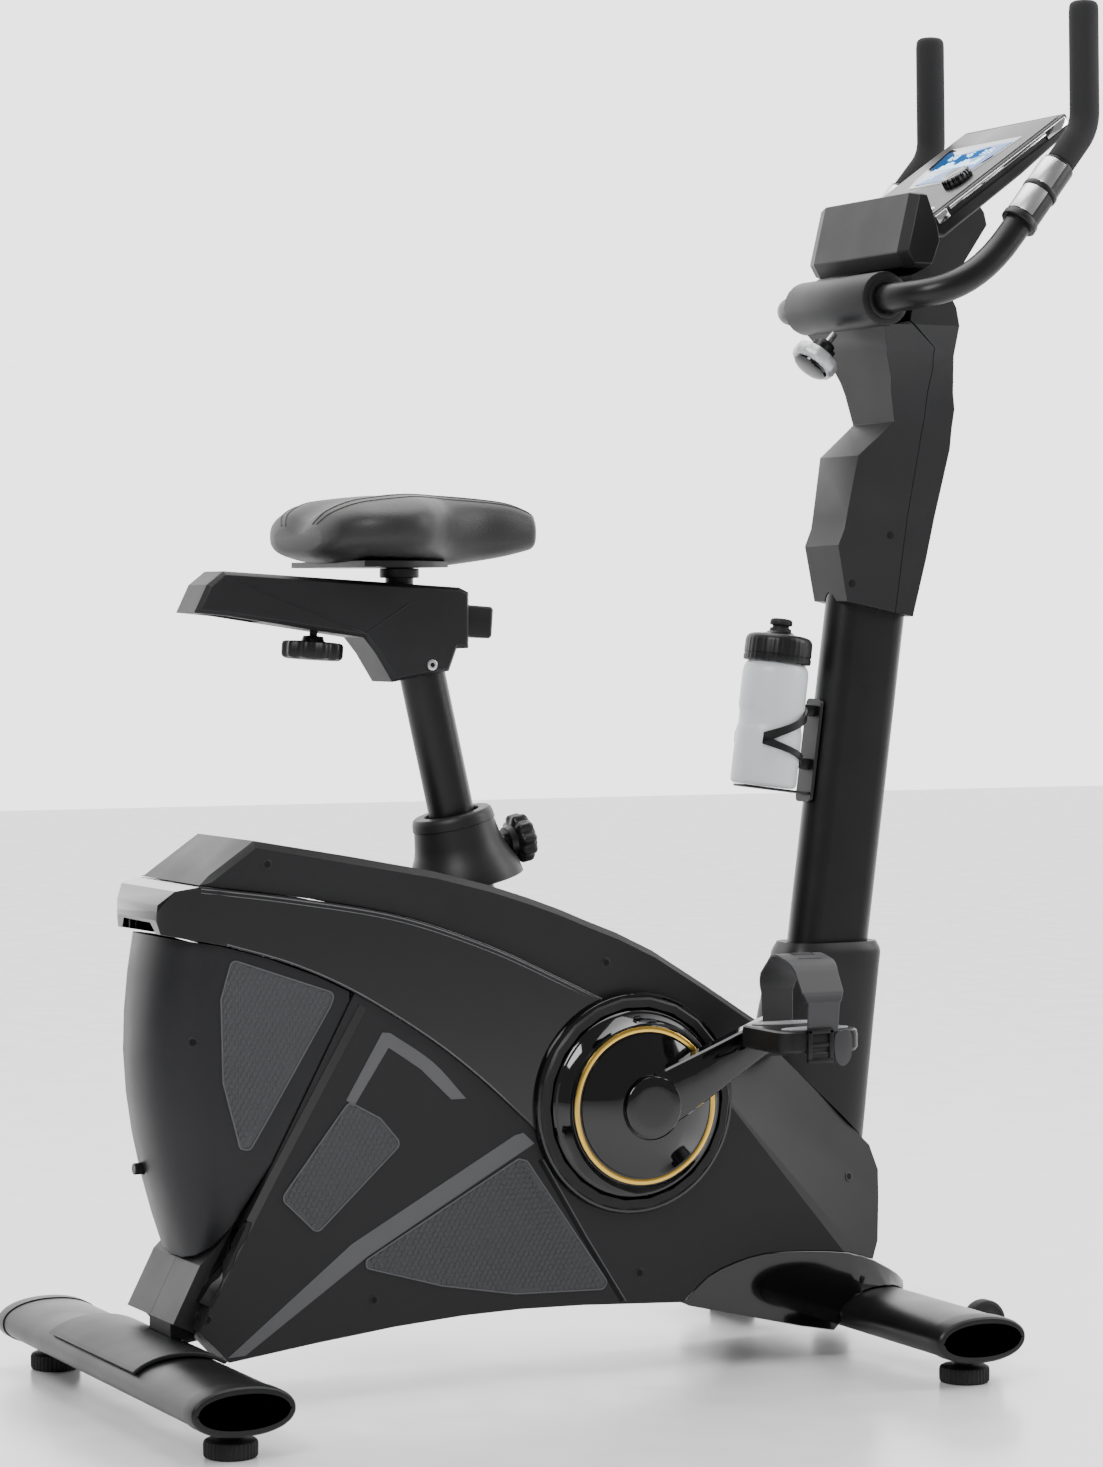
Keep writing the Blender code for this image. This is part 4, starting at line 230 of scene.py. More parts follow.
def spun(profile, start, axis, count=72, lobes=0, depth=0.0, above=0.0, scale=(1.0, 1.0)):
    """A turned solid from (distance along the axis, radius) points; lobes flute what lies outside a radius."""
    bm = bmesh.new()
    points = [(profile[0][0], 0.0)] + list(profile) + [(profile[-1][0], 0.0)]
    verts = [bm.verts.new((r, 0, s)) for s, r in points]
    edges = [bm.edges.new(pair) for pair in zip(verts, verts[1:])]
    bmesh.ops.spin(
        bm, geom=verts + edges, axis=(0, 0, 1), cent=(0, 0, 0), angle=2 * math.pi, steps=count,
        use_merge=True,
    )
    bmesh.ops.remove_doubles(bm, verts=bm.verts, dist=1e-6)
    for vert in bm.verts:
        radius = math.hypot(vert.co.x, vert.co.y)
        if lobes and radius > above:
            share = 1 - depth * (0.5 - 0.5 * math.cos(lobes * math.atan2(vert.co.y, vert.co.x))) / radius
            vert.co.x *= share
            vert.co.y *= share
    bmesh.ops.scale(bm, verts=bm.verts, vec=(scale[0], scale[1], 1))
    bmesh.ops.transform(bm, matrix=aim(start, axis), verts=bm.verts)
    return bm


def washer(profile, start, axis, count=96):
    """A turned ring from a closed section of (distance along the axis, radius) points."""
    bm = bmesh.new()
    verts = [bm.verts.new((r, 0, s)) for s, r in profile]
    edges = [bm.edges.new((verts[i - 1], verts[i])) for i in range(len(verts))]
    bmesh.ops.spin(
        bm, geom=verts + edges, axis=(0, 0, 1), cent=(0, 0, 0), angle=2 * math.pi, steps=count,
        use_merge=True,
    )
    bmesh.ops.transform(bm, matrix=aim(start, axis), verts=bm.verts)
    return bm


def curve(points, steps=8):
    """A smooth line through the points."""
    points = [Vector(p) for p in points]
    line = []
    for i, (here, there) in enumerate(zip(points, points[1:])):
        before = points[i - 1] if i else here * 2 - there
        after = points[i + 2] if i + 2 < len(points) else there * 2 - here
        for k in range(steps):
            t = k / steps
            bend = (before * 2 - here * 5 + there * 4 - after) * t**2
            twist = (here * 3 - before - there * 3 + after) * t**3
            line.append((here * 2 + (there - before) * t + bend + twist) / 2)
    return line + [points[-1]]


def arcs(corners, steps=10):
    """A path of (point, radius) corners with each round one drawn as an arc."""
    points = [Vector(p) for p, _ in corners]
    closed = len(points[0]) == 2
    found = []
    for i, (_, radius) in enumerate(corners):
        here = points[i]
        if radius <= 0 or (not closed and i in (0, len(points) - 1)):
            found.append(here)
            continue
        back = (points[i - 1] - here).normalized()
        ahead = (points[(i + 1) % len(points)] - here).normalized()
        half = back.angle(ahead) / 2
        centre = here + (back + ahead).normalized() * (radius / math.sin(half))
        first = here + back * (radius / math.tan(half)) - centre
        last = here + ahead * (radius / math.tan(half)) - centre
        turn = first.angle(last)
        for k in range(steps + 1):
            a = math.sin((1 - k / steps) * turn) / math.sin(turn)
            b = math.sin(k / steps * turn) / math.sin(turn)
            found.append(centre + first * a + last * b)
    return found


def plate(points, lift, bevel=0.0, segments=2):
    """A flat outline of points in space, thickened by a lift vector, its front rim rounded."""
    bm = bmesh.new()
    face = bm.faces.new([bm.verts.new(p) for p in points])
    raised = bmesh.ops.extrude_face_region(bm, geom=[face])["geom"]
    top = [v for v in raised if isinstance(v, bmesh.types.BMVert)]
    bmesh.ops.translate(bm, verts=top, vec=lift)
    bmesh.ops.recalc_face_normals(bm, faces=bm.faces)
    if bevel:
        rim = set(top)
        edges = [e for e in bm.edges if e.verts[0] in rim and e.verts[1] in rim]
        bmesh.ops.bevel(
            bm, geom=edges, offset=bevel, segments=segments, profile=0.5, affect="EDGES", material=-1,
        )
    return bm


def skin(rings, caps=True):
    """A skin bridged through rings of points, with flat ends."""
    bm = bmesh.new()
    loops = []
    for ring in rings:
        verts = [bm.verts.new(p) for p in ring]
        loops.append([bm.edges.new((verts[i - 1], verts[i])) for i in range(len(verts))])
    for low, high in zip(loops, loops[1:]):
        bmesh.ops.bridge_loops(bm, edges=low + high)
    if caps:
        bmesh.ops.holes_fill(bm, edges=loops[0] + loops[-1], sides=0)
    return bm


def tube(path, radii, count=40):
    """A round bar along a path, its radius given once or at each point."""
    radii = radii if isinstance(radii, (list, tuple)) else [radii] * len(path)
    rings, side = [], None
    for i, point in enumerate(path):
        ahead = (path[min(i + 1, len(path) - 1)] - path[max(i - 1, 0)]).normalized()
        if side is None:
            side = Y if abs(ahead.y) < 0.9 else X
        side = (side - ahead * side.dot(ahead)).normalized()
        up = ahead.cross(side)
        turns = [2 * math.pi * k / count for k in range(count)]
        rings.append([point + (side * math.cos(a) + up * math.sin(a)) * radii[i] for a in turns])
    return skin(rings)


def bar(low, high, bevel=0.0, segments=2):
    """A box between two corners with rounded edges."""
    bm = bmesh.new()
    bmesh.ops.create_cube(bm, size=1.0)
    bmesh.ops.scale(bm, verts=bm.verts, vec=Vector(high) - Vector(low))
    bmesh.ops.translate(bm, verts=bm.verts, vec=(Vector(high) + Vector(low)) / 2)
    if bevel:
        bmesh.ops.bevel(
            bm, geom=bm.edges[:], offset=bevel, segments=segments, profile=0.5, affect="EDGES",
            material=-1,
        )
    return bm


def superellipse(centre, u, v, depth, width, count=96, power=2.0):
    """A closed ring of points between an oval and a box, the higher the power the boxier."""
    points = []
    for k in range(count):
        c = math.cos(2 * math.pi * k / count)
        s = math.sin(2 * math.pi * k / count)
        a = math.copysign(abs(c) ** (2 / power), c) * depth / 2
        b = math.copysign(abs(s) ** (2 / power), s) * width / 2
        points.append(centre + u * a + v * b)
    return points


def shrink(outline, amount):
    """A flat outline of (x, z) points moved inwards by amount."""
    points = [Vector(p) for p in outline]
    count = len(points)
    area = sum(points[i - 1].x * points[i].y - points[i].x * points[i - 1].y for i in range(count))
    sign = 1 if area > 0 else -1
    moved = []
    for i in range(count):
        back = (points[i] - points[i - 1]).normalized()
        ahead = (points[(i + 1) % count] - points[i]).normalized()
        inward = (Vector((-back.y - ahead.y, back.x + ahead.x)) * sign).normalized()
        cosine = inward.dot(Vector((-back.y, back.x)) * sign)
        moved.append(points[i] + inward * (amount / max(cosine, 0.35)))
    return moved


def refined(node, material, width=0.0012, angle=30.0, merge=0.0003):
    """A CAD piece's own shape with its flat facets joined and its hard edges rounded."""
    bm = bmesh.new()
    bm.from_mesh(NODES[node].data)
    bmesh.ops.remove_doubles(bm, verts=bm.verts, dist=merge)
    bmesh.ops.dissolve_limit(bm, angle_limit=math.radians(0.6), verts=bm.verts, edges=bm.edges)
    obj = add(node + "_shape", bm, NODES[node]["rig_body"], material, [node], angle)
    rounding = obj.modifiers.new("rounded_edges", "BEVEL")
    rounding.limit_method = "ANGLE"
    rounding.angle_limit = math.radians(angle)
    rounding.width = width
    rounding.segments = 2
    rounding.use_clamp_overlap = True
    rounding.harden_normals = False
    return obj


TREES = {}


def skin_at(node, x, z, hand):
    """How far out a CAD piece's side lies at (x, z), in the bike's own coordinates."""
    if node not in TREES:
        mesh = NODES[node].data
        TREES[node] = BVHTree.FromPolygons([v.co for v in mesh.vertices], [p.vertices for p in mesh.polygons])
    hit = TREES[node].ray_cast(Vector((x, hand * 0.5, z)), Vector((0, -hand, 0)))[0]
    return hit.y if hit else None


def lay_on(bm, node, hand, fallback=0.088):
    """Moves a mesh drawn about y = 0 out onto a piece's side, keeping its own relief."""
    for vert in bm.verts:
        y = skin_at(node, vert.co.x, vert.co.z, hand)
        vert.co.y = (hand * fallback if y is None else y) + hand * vert.co.y
    return bm


def side_plate(outline, low, high, bevel=0.0):
    """A side-view outline in (x, z) measured from the rear feet, from one relief height to another."""
    return plate([place(x, low, z) for x, z in outline], Y * (high - low), bevel)


def subdivided(bm, length):
    """Cuts long edges so that a laid-on shape can follow a curved piece."""
    for _ in range(5):
        long = [e for e in bm.edges if e.calc_length() > length]
        if not long:
            break
        bmesh.ops.subdivide_edges(bm, edges=long, cuts=1, use_grid_fill=False)
        bmesh.ops.triangulate(bm, faces=bm.faces)
    return bm


# Casing ---------------------------------------------------------------------------------------------------


ARCH_LOW = curve(
    [(0.063, 0.484), (0.135, 0.462), (0.206, 0.430), (0.288, 0.380), (0.350, 0.333), (0.415, 0.275)]
)
ARCH_HIGH = curve(
    [(0.036, 0.546), (0.136, 0.532), (0.254, 0.510), (0.358, 0.475), (0.440, 0.438), (0.504, 0.407)]
)


def seam_line(name, points, node, hand, width, lift, material, body="frame"):
    """A narrow raised or dark line along a side-view path, laid on a piece's side."""
    path = [Vector(p) for p in points]
    edge = []
    for i, here in enumerate(path):
        ahead = (path[min(i + 1, len(path) - 1)] - path[max(i - 1, 0)]).normalized()
        edge.append((here, Vector((-ahead.y, ahead.x)) * width / 2))
    outline = [p + n for p, n in edge] + [p - n for p, n in reversed(edge)]
    bm = subdivided(side_plate(outline, -0.0006, lift), 0.03)
    return add(name, lay_on(bm, node, hand), body, material, smooth=20)


def casing():
    for hand, name in SIDES:
        refined(f"side_cover_{name}", MATTE, 0.0016)
    refined("arch_band", GLOSS, 0.0012)
    refined("top_cover", MATTE, 0.0014)
    refined("tail_cover", TAIL, 0.0008, angle=45)
    refined("front_cowl", GLOSS, 0.0012)
    refined("rear_foot_cover", MATTE, 0.0012)
    for hand, name in SIDES:
        hub = CRANK + Y * hand * 0.0862
        section = [
            (0.0, 0.1050), (0.0, 0.1190), (0.0085, 0.1190), (0.0112, 0.1172), (0.0118, 0.1145),
            (0.0108, 0.1130), (0.0108, 0.1105), (0.0122, 0.1090), (0.0126, 0.1068), (0.0120, 0.1052),
            (0.0040, 0.1046),
        ]
        add(f"crank_collar_{name}", washer(section, hub, Y * hand), "frame", GLOSS)
        # A near black ring on the floor of the collar's recess: painted shade.
        shade_ring = [(0.0, 0.0960), (0.0, 0.1052), (0.0035, 0.1052), (0.0035, 0.0960)]
        add(f"crank_recess_shade_{name}", washer(shade_ring, hub, Y * hand), "frame", PAINTED_SHADE)
        # Light grey lines along the arch band's edges and just below its top edge: painted highlights.
        seam_line(
            f"arch_low_edge_{name}", [(x, z + 0.0022) for x, z in ARCH_LOW], "arch_band", hand, 0.0011,
            0.0006, EDGE_HIGHLIGHT,
        )
        seam_line(
            f"arch_high_edge_{name}", [(x, z - 0.0028) for x, z in ARCH_HIGH], "arch_band", hand,
            0.0012, 0.0006, EDGE_HIGHLIGHT,
        )
        seam_line(
            f"arch_high_line_{name}", [(x, z - 0.0068) for x, z in ARCH_HIGH], "arch_band", hand,
            0.0008, 0.0004, EDGE_HIGHLIGHT,
        )
        seam_line(
            f"tail_stripe_{name}",
            [(0.2150, 0.4160), (0.1120, 0.2420), (0.0500, 0.1320), (0.0420, 0.1180)],
            f"side_cover_{name}", hand, 0.0095, 0.0006, GLOSS,
        )
        # A dark line along the side panel's crease is painted shade, and the light line beside it is a painted
        # highlight on the crease's lip.
        seam_line(f"panel_crease_{name}", [(0.4190, 0.2440), (0.4700, 0.1600), (0.5180, 0.0860)],
                  f"side_cover_{name}", hand, 0.0040, 0.0004, PAINTED_SHADE)
        seam_line(f"crease_lip_highlight_{name}", [(0.4235, 0.2440), (0.4745, 0.1600), (0.5225, 0.0860)],
                  f"side_cover_{name}", hand, 0.0010, 0.0008, PRINT_AND_HIGHLIGHT)


def rounded_patch(corners, radius):
    return arcs([(p, radius) for p in corners], 6)


def inside(point, outline):
    """Whether a side-view point lies within an outline."""
    x, z = point
    found = False
    for (x0, z0), (x1, z1) in zip(outline, outline[1:] + outline[:1]):
        if (z0 > z) != (z1 > z) and x < x0 + (z - z0) / (z1 - z0) * (x1 - x0):
            found = not found
    return found


HOLE_PITCH = 0.0064
HOLE_RIM = 0.0011


def grille(name, outline, node, hand):
    """A patch of sunk hexagonal cells inside a fine raised border."""
    outline = [Vector(p) for p in outline]
    base = subdivided(side_plate(outline, -0.0008, 0.0004), 0.04)
    add(f"{name}_patch", lay_on(base, node, hand), "frame", GRILLE, smooth=20)
    field = shrink(outline, HOLE_PITCH * 0.55)
    bm = bmesh.new()
    low_x, high_x = min(p.x for p in outline), max(p.x for p in outline)
    low_z, high_z = min(p.y for p in outline), max(p.y for p in outline)
    step_z = HOLE_PITCH * math.sqrt(3) / 2
    cells = []
    for row in range(int((high_z - low_z) / step_z) + 2):
        for column in range(int((high_x - low_x) / HOLE_PITCH) + 2):
            x = low_x + (column + 0.5 * (row % 2)) * HOLE_PITCH
            z = low_z + row * step_z
            if inside((x, z), field):
                cells.append((x, z))
    for x, z in cells:
        spot = place(x, 0.0013, z)
        turn = (
            Matrix.Translation(spot)
            @ Matrix.Rotation(math.pi / 2, 4, "X")
            @ Matrix.Rotation(math.pi / 6, 4, "Z")
        )
        bmesh.ops.create_circle(bm, cap_ends=True, segments=6, radius=HOLE_PITCH / math.sqrt(3), matrix=turn)
    bmesh.ops.remove_doubles(bm, verts=bm.verts, dist=2e-5)
    for face in bm.faces:
        if face.normal.y < 0:
            face.normal_flip()
    faces = bm.faces[:]
    bmesh.ops.inset_individual(bm, faces=faces, thickness=HOLE_RIM, depth=-0.0004)
    bmesh.ops.inset_individual(bm, faces=faces, thickness=0.0002, depth=-0.0012)
    # The cell floors take the near black painted shade of the holes.
    for face in faces:
        face.material_index = 1
    border = [e for e in bm.edges if e.is_boundary]
    skirt = bmesh.ops.extrude_edge_only(bm, edges=border)["geom"]
    bmesh.ops.translate(bm, verts=[v for v in skirt if isinstance(v, bmesh.types.BMVert)], vec=-Y * 0.0011)
    bmesh.ops.holes_fill(bm, edges=[e for e in bm.edges if e.is_boundary], sides=0)
    add(f"{name}_cells", lay_on(bm, node, hand), "frame", (GRILLE, CELL_SHADE), smooth=20)
    seam_line(f"{name}_border", [*outline, outline[0]], node, hand, 0.0014, 0.0016, PRINT_AND_HIGHLIGHT)


def side_details():
    for hand, name in SIDES:
        cover = f"side_cover_{name}"
        tail_patch = rounded_patch(
            [
                (0.0700, 0.4700), (0.1840, 0.4310), (0.1790, 0.4180), (0.0900, 0.2740),
                (0.0790, 0.2760), (0.0600, 0.3450), (0.0580, 0.4300),
            ],
            0.006,
        )
        grille(f"tail_grille_{name}", tail_patch, "tail_cover", hand)
        middle = rounded_patch(
            [(0.1990, 0.3180), (0.2340, 0.2990), (0.2580, 0.2710), (0.1630, 0.1840), (0.1230, 0.2220)],
            0.007,
        )
        grille(f"panel_grille_{name}", middle, cover, hand)
        low = rounded_patch(
            [
                (0.2180, 0.1520), (0.3940, 0.2470), (0.4040, 0.2440), (0.5000, 0.1080),
                (0.4940, 0.1010), (0.3900, 0.1040), (0.3050, 0.1190), (0.2180, 0.1440),
            ],
            0.005,
        )
        grille(f"low_grille_{name}", low, cover, hand)
        seven = [
            (0.1960, 0.3200), (0.2370, 0.3880),
            *curve([(0.2460, 0.3870), (0.2950, 0.3540), (0.3330, 0.3140)], 5), (0.3160, 0.3140),
            *curve([(0.2800, 0.3480), (0.2440, 0.3720)], 4), (0.2040, 0.3120),
        ]
        bm = subdivided(side_plate(seven, -0.0006, 0.0006), 0.03)
        add(f"corner_print_{name}", lay_on(bm, cover, hand), "frame", PRINT_AND_HIGHLIGHT, smooth=20)
        band = [
            (0.0640, 0.0630), (0.0830, 0.0640), (0.2200, 0.1560), (0.4130, 0.2620), (0.4000, 0.2740),
            (0.3900, 0.2720), (0.2020, 0.1700),
        ]
        bm = subdivided(side_plate(band, -0.0006, 0.0006), 0.03)
        add(f"band_print_{name}", lay_on(bm, cover, hand), "frame", PRINT_AND_HIGHLIGHT, smooth=20)
        for index, (x, z, node) in enumerate(
            (
                (0.539, 0.115, cover), (0.227, 0.110, cover), (0.042, 0.104, cover),
                (0.030, 0.387, "tail_cover"), (0.818, 0.197, cover), (0.110, 0.566, "top_cover"),
                (0.500, 0.450, "top_cover"),
            )
        ):
            hole = washer(
                [
                    (-0.0004, 0.0034), (0.0005, 0.0034), (0.0007, 0.0040), (0.0007, 0.0048),
                    (0.0003, 0.0054), (-0.0004, 0.0054),
                ],
                place(x, 0, z), Y, 28,
            )
            add(f"screw_rim_{index}_{name}", lay_on(hole, node, hand), "frame", MATTE)
            # A near black disc in each screw hole: painted shade.
            add(
                f"screw_hole_shade_{index}_{name}",
                lay_on(spun([(-0.0004, 0.0036), (0.0004, 0.0036)], place(x, 0, z), Y, 20), node, hand),
                "frame", PAINTED_SHADE,
            )


def boots():
    base = SEAT_MOUTH - SEAT_UP * 0.075
    profile = [
        (0.0, 0.0630), (0.006, 0.0618), (0.014, 0.0596), (0.026, 0.0535), (0.036, 0.0488),
        (0.044, 0.0468), (0.060, 0.0440), (0.0625, 0.0436), (0.0632, 0.0448), (0.0700, 0.0440),
        (0.0745, 0.0425), (0.0760, 0.0405), (0.0760, 0.0300), (0.0700, 0.0296),
    ]
    section = profile + [(0.0, 0.0296)]
    add("seat_boot", washer(section, base, SEAT_UP, 96), "frame", MATTE)
    heights = (0.190, 0.240, 0.300, 0.345, 0.385, 0.420, 0.4440, 0.4490, 0.4530, 0.4552, 0.4556)
    front_edge = ((0.190, 0.8545), (0.300, 0.8665), (0.385, 0.876), (0.446, 0.883), (0.4556, 0.8785))
    rear_edge = ((0.190, 0.700), (0.300, 0.7285), (0.385, 0.746), (0.446, 0.7624), (0.4556, 0.7675))
    widths = ((0.190, 0.086), (0.300, 0.083), (0.385, 0.080), (0.446, 0.079), (0.4556, 0.0690))

    def between(points, z):
        for (z0, a), (z1, b) in zip(points, points[1:]):
            if z <= z1:
                return a + (b - a) * (z - z0) / (z1 - z0)
        return points[-1][1]

    rings = []
    for z in heights:
        front, rear = between(front_edge, z), between(rear_edge, z)
        rings.append(
            superellipse(
                place((front + rear) / 2, 0, z), X, Y, front - rear, between(widths, z), 120, 3.4,
            )
        )
    front, rear = front_edge[-1][1] - 0.006, rear_edge[-1][1] + 0.006
    rings.append(superellipse(place((front + rear) / 2, 0, 0.4540), X, Y, front - rear, 0.057, 120, 3.0))
    bm = skin(rings)
    for (x0, z0), (x1, z1) in (((0.736, 0.3380), (0.8585, 0.2284)), ((0.600, 0.4595), (0.736, 0.3380))):
        along = place(x1, 0, z1) - place(x0, 0, z0)
        normal = Y.cross(along) if Y.cross(along).z < 0 else -Y.cross(along)
        bmesh.ops.bisect_plane(
            bm, geom=bm.verts[:] + bm.edges[:] + bm.faces[:], dist=1e-6, plane_co=place(x0, 0, z0),
            plane_no=normal, clear_outer=True,
        )
        bmesh.ops.holes_fill(bm, edges=[e for e in bm.edges if e.is_boundary], sides=0)
    add("mast_boot_shape", bm, "frame", MATTE, ["mast_boot"], 28)


# Base -----------------------------------------------------------------------------------------------------

WHEELBASE = 0.845
TUBE_DEPTH, TUBE_HEIGHT, TUBE_Z, TUBE_HALF = 0.108, 0.048, 0.050, 0.268
FOOT_OUT = 0.254
WHEEL_AHEAD, WHEEL_OUT, WHEEL_UP, WHEEL_HALF = 0.082, 0.165, 0.044, 0.009
BRACKET_GAP = 0.0045


def tube_ring(x, y, inset=0.0, count=120):
    """The flat-oval section of a stabilizer at a place along it, drawn in by an inset."""
    centre = place(x, y, TUBE_Z)
    return superellipse(centre, X, Z, TUBE_DEPTH - 2 * inset, TUBE_HEIGHT - 2 * inset, count, 2.15)


def base():
    for x, end in ((0.0, "rear"), (WHEELBASE, "front")):
        add(
            f"{end}_stabilizer_tube",
            skin([tube_ring(x, y) for y in (-TUBE_HALF, -0.134, 0.0, 0.134, TUBE_HALF)]), "frame", TUBE,
            [f"{end}_stabilizer"],
        )
        for hand, name in SIDES:
            steps = (
                (0.0002, -0.0004), (0.0004, -0.0012), (0.0170, -0.0012), (0.0205, -0.0004),
                (0.0226, 0.0014), (0.0230, 0.0036), (0.0230, 0.0062), (0.0222, 0.0072),
                (0.0213, 0.0080), (0.0213, 0.0098), (0.0224, 0.0106), (0.0224, 0.0124),
                (0.0212, 0.0132), (0.0208, 0.0150), (0.0208, 0.0190), (0.0206, 0.0225),
            )
            rings = [tube_ring(x, hand * (TUBE_HALF + y), inset) for y, inset in steps]
            add(
                f"{end}_cap_{name}", skin(rings), "frame", DARK, [f"{end}_end_cap_{name}"],
                24,
            )
            foot = place(x, hand * FOOT_OUT, 0)
            profile = [
                (0.0, 0.0230), (0.0004, 0.0252), (0.0020, 0.0268), (0.0060, 0.0270), (0.0140, 0.0270),
                (0.0166, 0.0262), (0.0180, 0.0236), (0.0186, 0.0120), (0.0192, 0.0110),
                (0.0240, 0.0110), (0.0246, 0.0052), (0.0252, 0.0050),
            ]
            add(
                f"{end}_foot_pad_{name}", spun(profile, foot, Z, 144, 36, 0.0010, 0.0245),
                f"{end}_foot_{name}", RUBBER, [f"{end}_foot_{name}"],
            )
    for hand, name in SIDES:
        hub = place(WHEELBASE + WHEEL_AHEAD, hand * WHEEL_OUT, WHEEL_UP)
        profile = [
            (-0.0090, 0.0120), (-0.0082, 0.0130), (-0.0082, 0.0180), (-0.0090, 0.0190),
            (-0.0090, 0.0205), (-0.0070, 0.0234), (-0.0050, 0.0240), (0.0050, 0.0240), (0.0070, 0.0234),
            (0.0090, 0.0205), (0.0090, 0.0190), (0.0082, 0.0180), (0.0082, 0.0130), (0.0090, 0.0120),
        ]
        add(
            f"transport_wheel_tyre_{name}", spun(profile, hub, Y), f"wheel_{name}", RUBBER,
            [f"transport_wheel_{name}"],
        )
        inner = hand * (WHEEL_OUT - WHEEL_HALF - BRACKET_GAP)
        arm = [(WHEELBASE + 0.030, 0.060), (WHEELBASE + 0.044, 0.041), (WHEELBASE + 0.078, 0.036),
               (WHEELBASE + 0.090, 0.041), (WHEELBASE + 0.090, 0.050), (WHEELBASE + 0.078, 0.054),
               (WHEELBASE + 0.045, 0.062)]
        outline = [place(x, inner, z) for x, z in arcs([(p, 0.004) for p in arm], 4)]
        add(
            f"wheel_bracket_{name}", plate(outline, Y * hand * 0.0035, 0.0006), "frame", TUBE,
        )
        bolt = [(0.0, 0.0040), (0.0005, 0.0070), (0.0020, 0.0070), (0.0026, 0.0060)]
        add(
            f"wheel_bolt_{name}", spun(bolt, hub + Y * hand * 0.0092, Y * hand, 32), "frame", STEEL,
        )


# Cranks and pedals ----------------------------------------------------------------------------------------


CRANK_LENGTH = 0.165
NARROW_ARM = 0.006


def crank(hand, name):
    out = Y * hand
    along = CRANK_ALONG if hand < 0 else -CRANK_ALONG
    up = Z * along.x - X * along.z
    dish = [
        (0.0940, 0.0960), (0.0945, 0.1000), (0.0962, 0.1009), (0.0990, 0.1010), (0.1005, 0.1002),
        (0.1018, 0.0988), (0.1022, 0.0965), (0.1060, 0.0925), (0.1110, 0.0888), (0.1150, 0.0866),
        (0.1158, 0.0862), (0.1160, 0.0856), (0.1182, 0.0850), (0.1188, 0.0770), (0.1206, 0.0764),
        (0.1240, 0.0690), (0.1282, 0.0580), (0.1316, 0.0470), (0.1338, 0.0380), (0.1342, 0.0352),
        (0.1325, 0.0345), (0.1325, 0.0200),
    ]
    disc = [(s - 0.09, r) for s, r in dish]
    add(
        f"crank_dish_{name}", spun(disc, CRANK + out * 0.09, out, 160), "cranks", GLOSS,
        [f"crank_disc_{name}"], 24,
    )
    ring = [
        (0.0280, 0.0782), (0.0292, 0.0788), (0.0296, 0.0800), (0.0296, 0.0832), (0.0290, 0.0844),
        (0.0280, 0.0848),
    ]
    add(
        f"gold_ring_{name}", washer(ring, CRANK + out * 0.09, out, 160), "cranks", GOLD,
    )
    hub = [
        (0.1300, 0.0328), (0.1380, 0.0328), (0.1386, 0.0323), (0.1389, 0.0315), (0.1392, 0.0200),
        (0.1393, 0.0060),
    ]
    cap = [(s - 0.09, r) for s, r in hub]
    add(f"hub_cap_{name}", spun(cap, CRANK + out * 0.09, out, 96), "cranks", GLOSS)
    centre = CRANK + along * CRANK_LENGTH
    rings = []
    for s, half, low, high in ((-0.020, 0.004, 0.1195, 0.1215), (0.000, 0.0240, 0.1195, 0.1350),
                                     (0.020, 0.0290, 0.1195, 0.1372), (0.036, 0.0285, 0.1195, 0.1380),
                                     (0.060, 0.0262, 0.1200, 0.1378), (0.078, 0.0245, 0.1212, 0.1375),
                                     (0.110, 0.0216, 0.1215, 0.1370), (0.140, 0.0192, 0.1215, 0.1366),
                                     (0.160, 0.0178, 0.1215, 0.1364), (0.174, 0.0150, 0.1215, 0.1362),
                                     (0.180, 0.0100, 0.1218, 0.1358), (0.1825, 0.0040, 0.1230, 0.1345)):
        if half > NARROW_ARM:
            section = [
                (-half, low), (-half, high - 0.0030), (-half + 0.0018, high - 0.0008),
                (-half + 0.0042, high), (half - 0.0042, high), (half - 0.0018, high - 0.0008),
                (half, high - 0.0030), (half, low),
            ]
        else:
            section = [
                (-half, low), (-half, high - 0.0006), (-half * 0.7, high - 0.0003), (-half * 0.4, high),
                (half * 0.4, high), (half * 0.7, high - 0.0003), (half, high - 0.0006), (half, low),
            ]
        rings.append([CRANK + along * s + up * a + out * b for a, b in section])
    add(f"crank_arm_{name}", skin(rings), "cranks", GLOSS, [f"crank_{name}"], 30)
    bolt = [(0.0, 0.0105), (0.0015, 0.0110), (0.0038, 0.0108), (0.0044, 0.0095), (0.0046, 0.0040)]
    add(f"pedal_axle_{name}", spun(bolt, centre + out * 0.1355, out, 48), "cranks", STEEL)


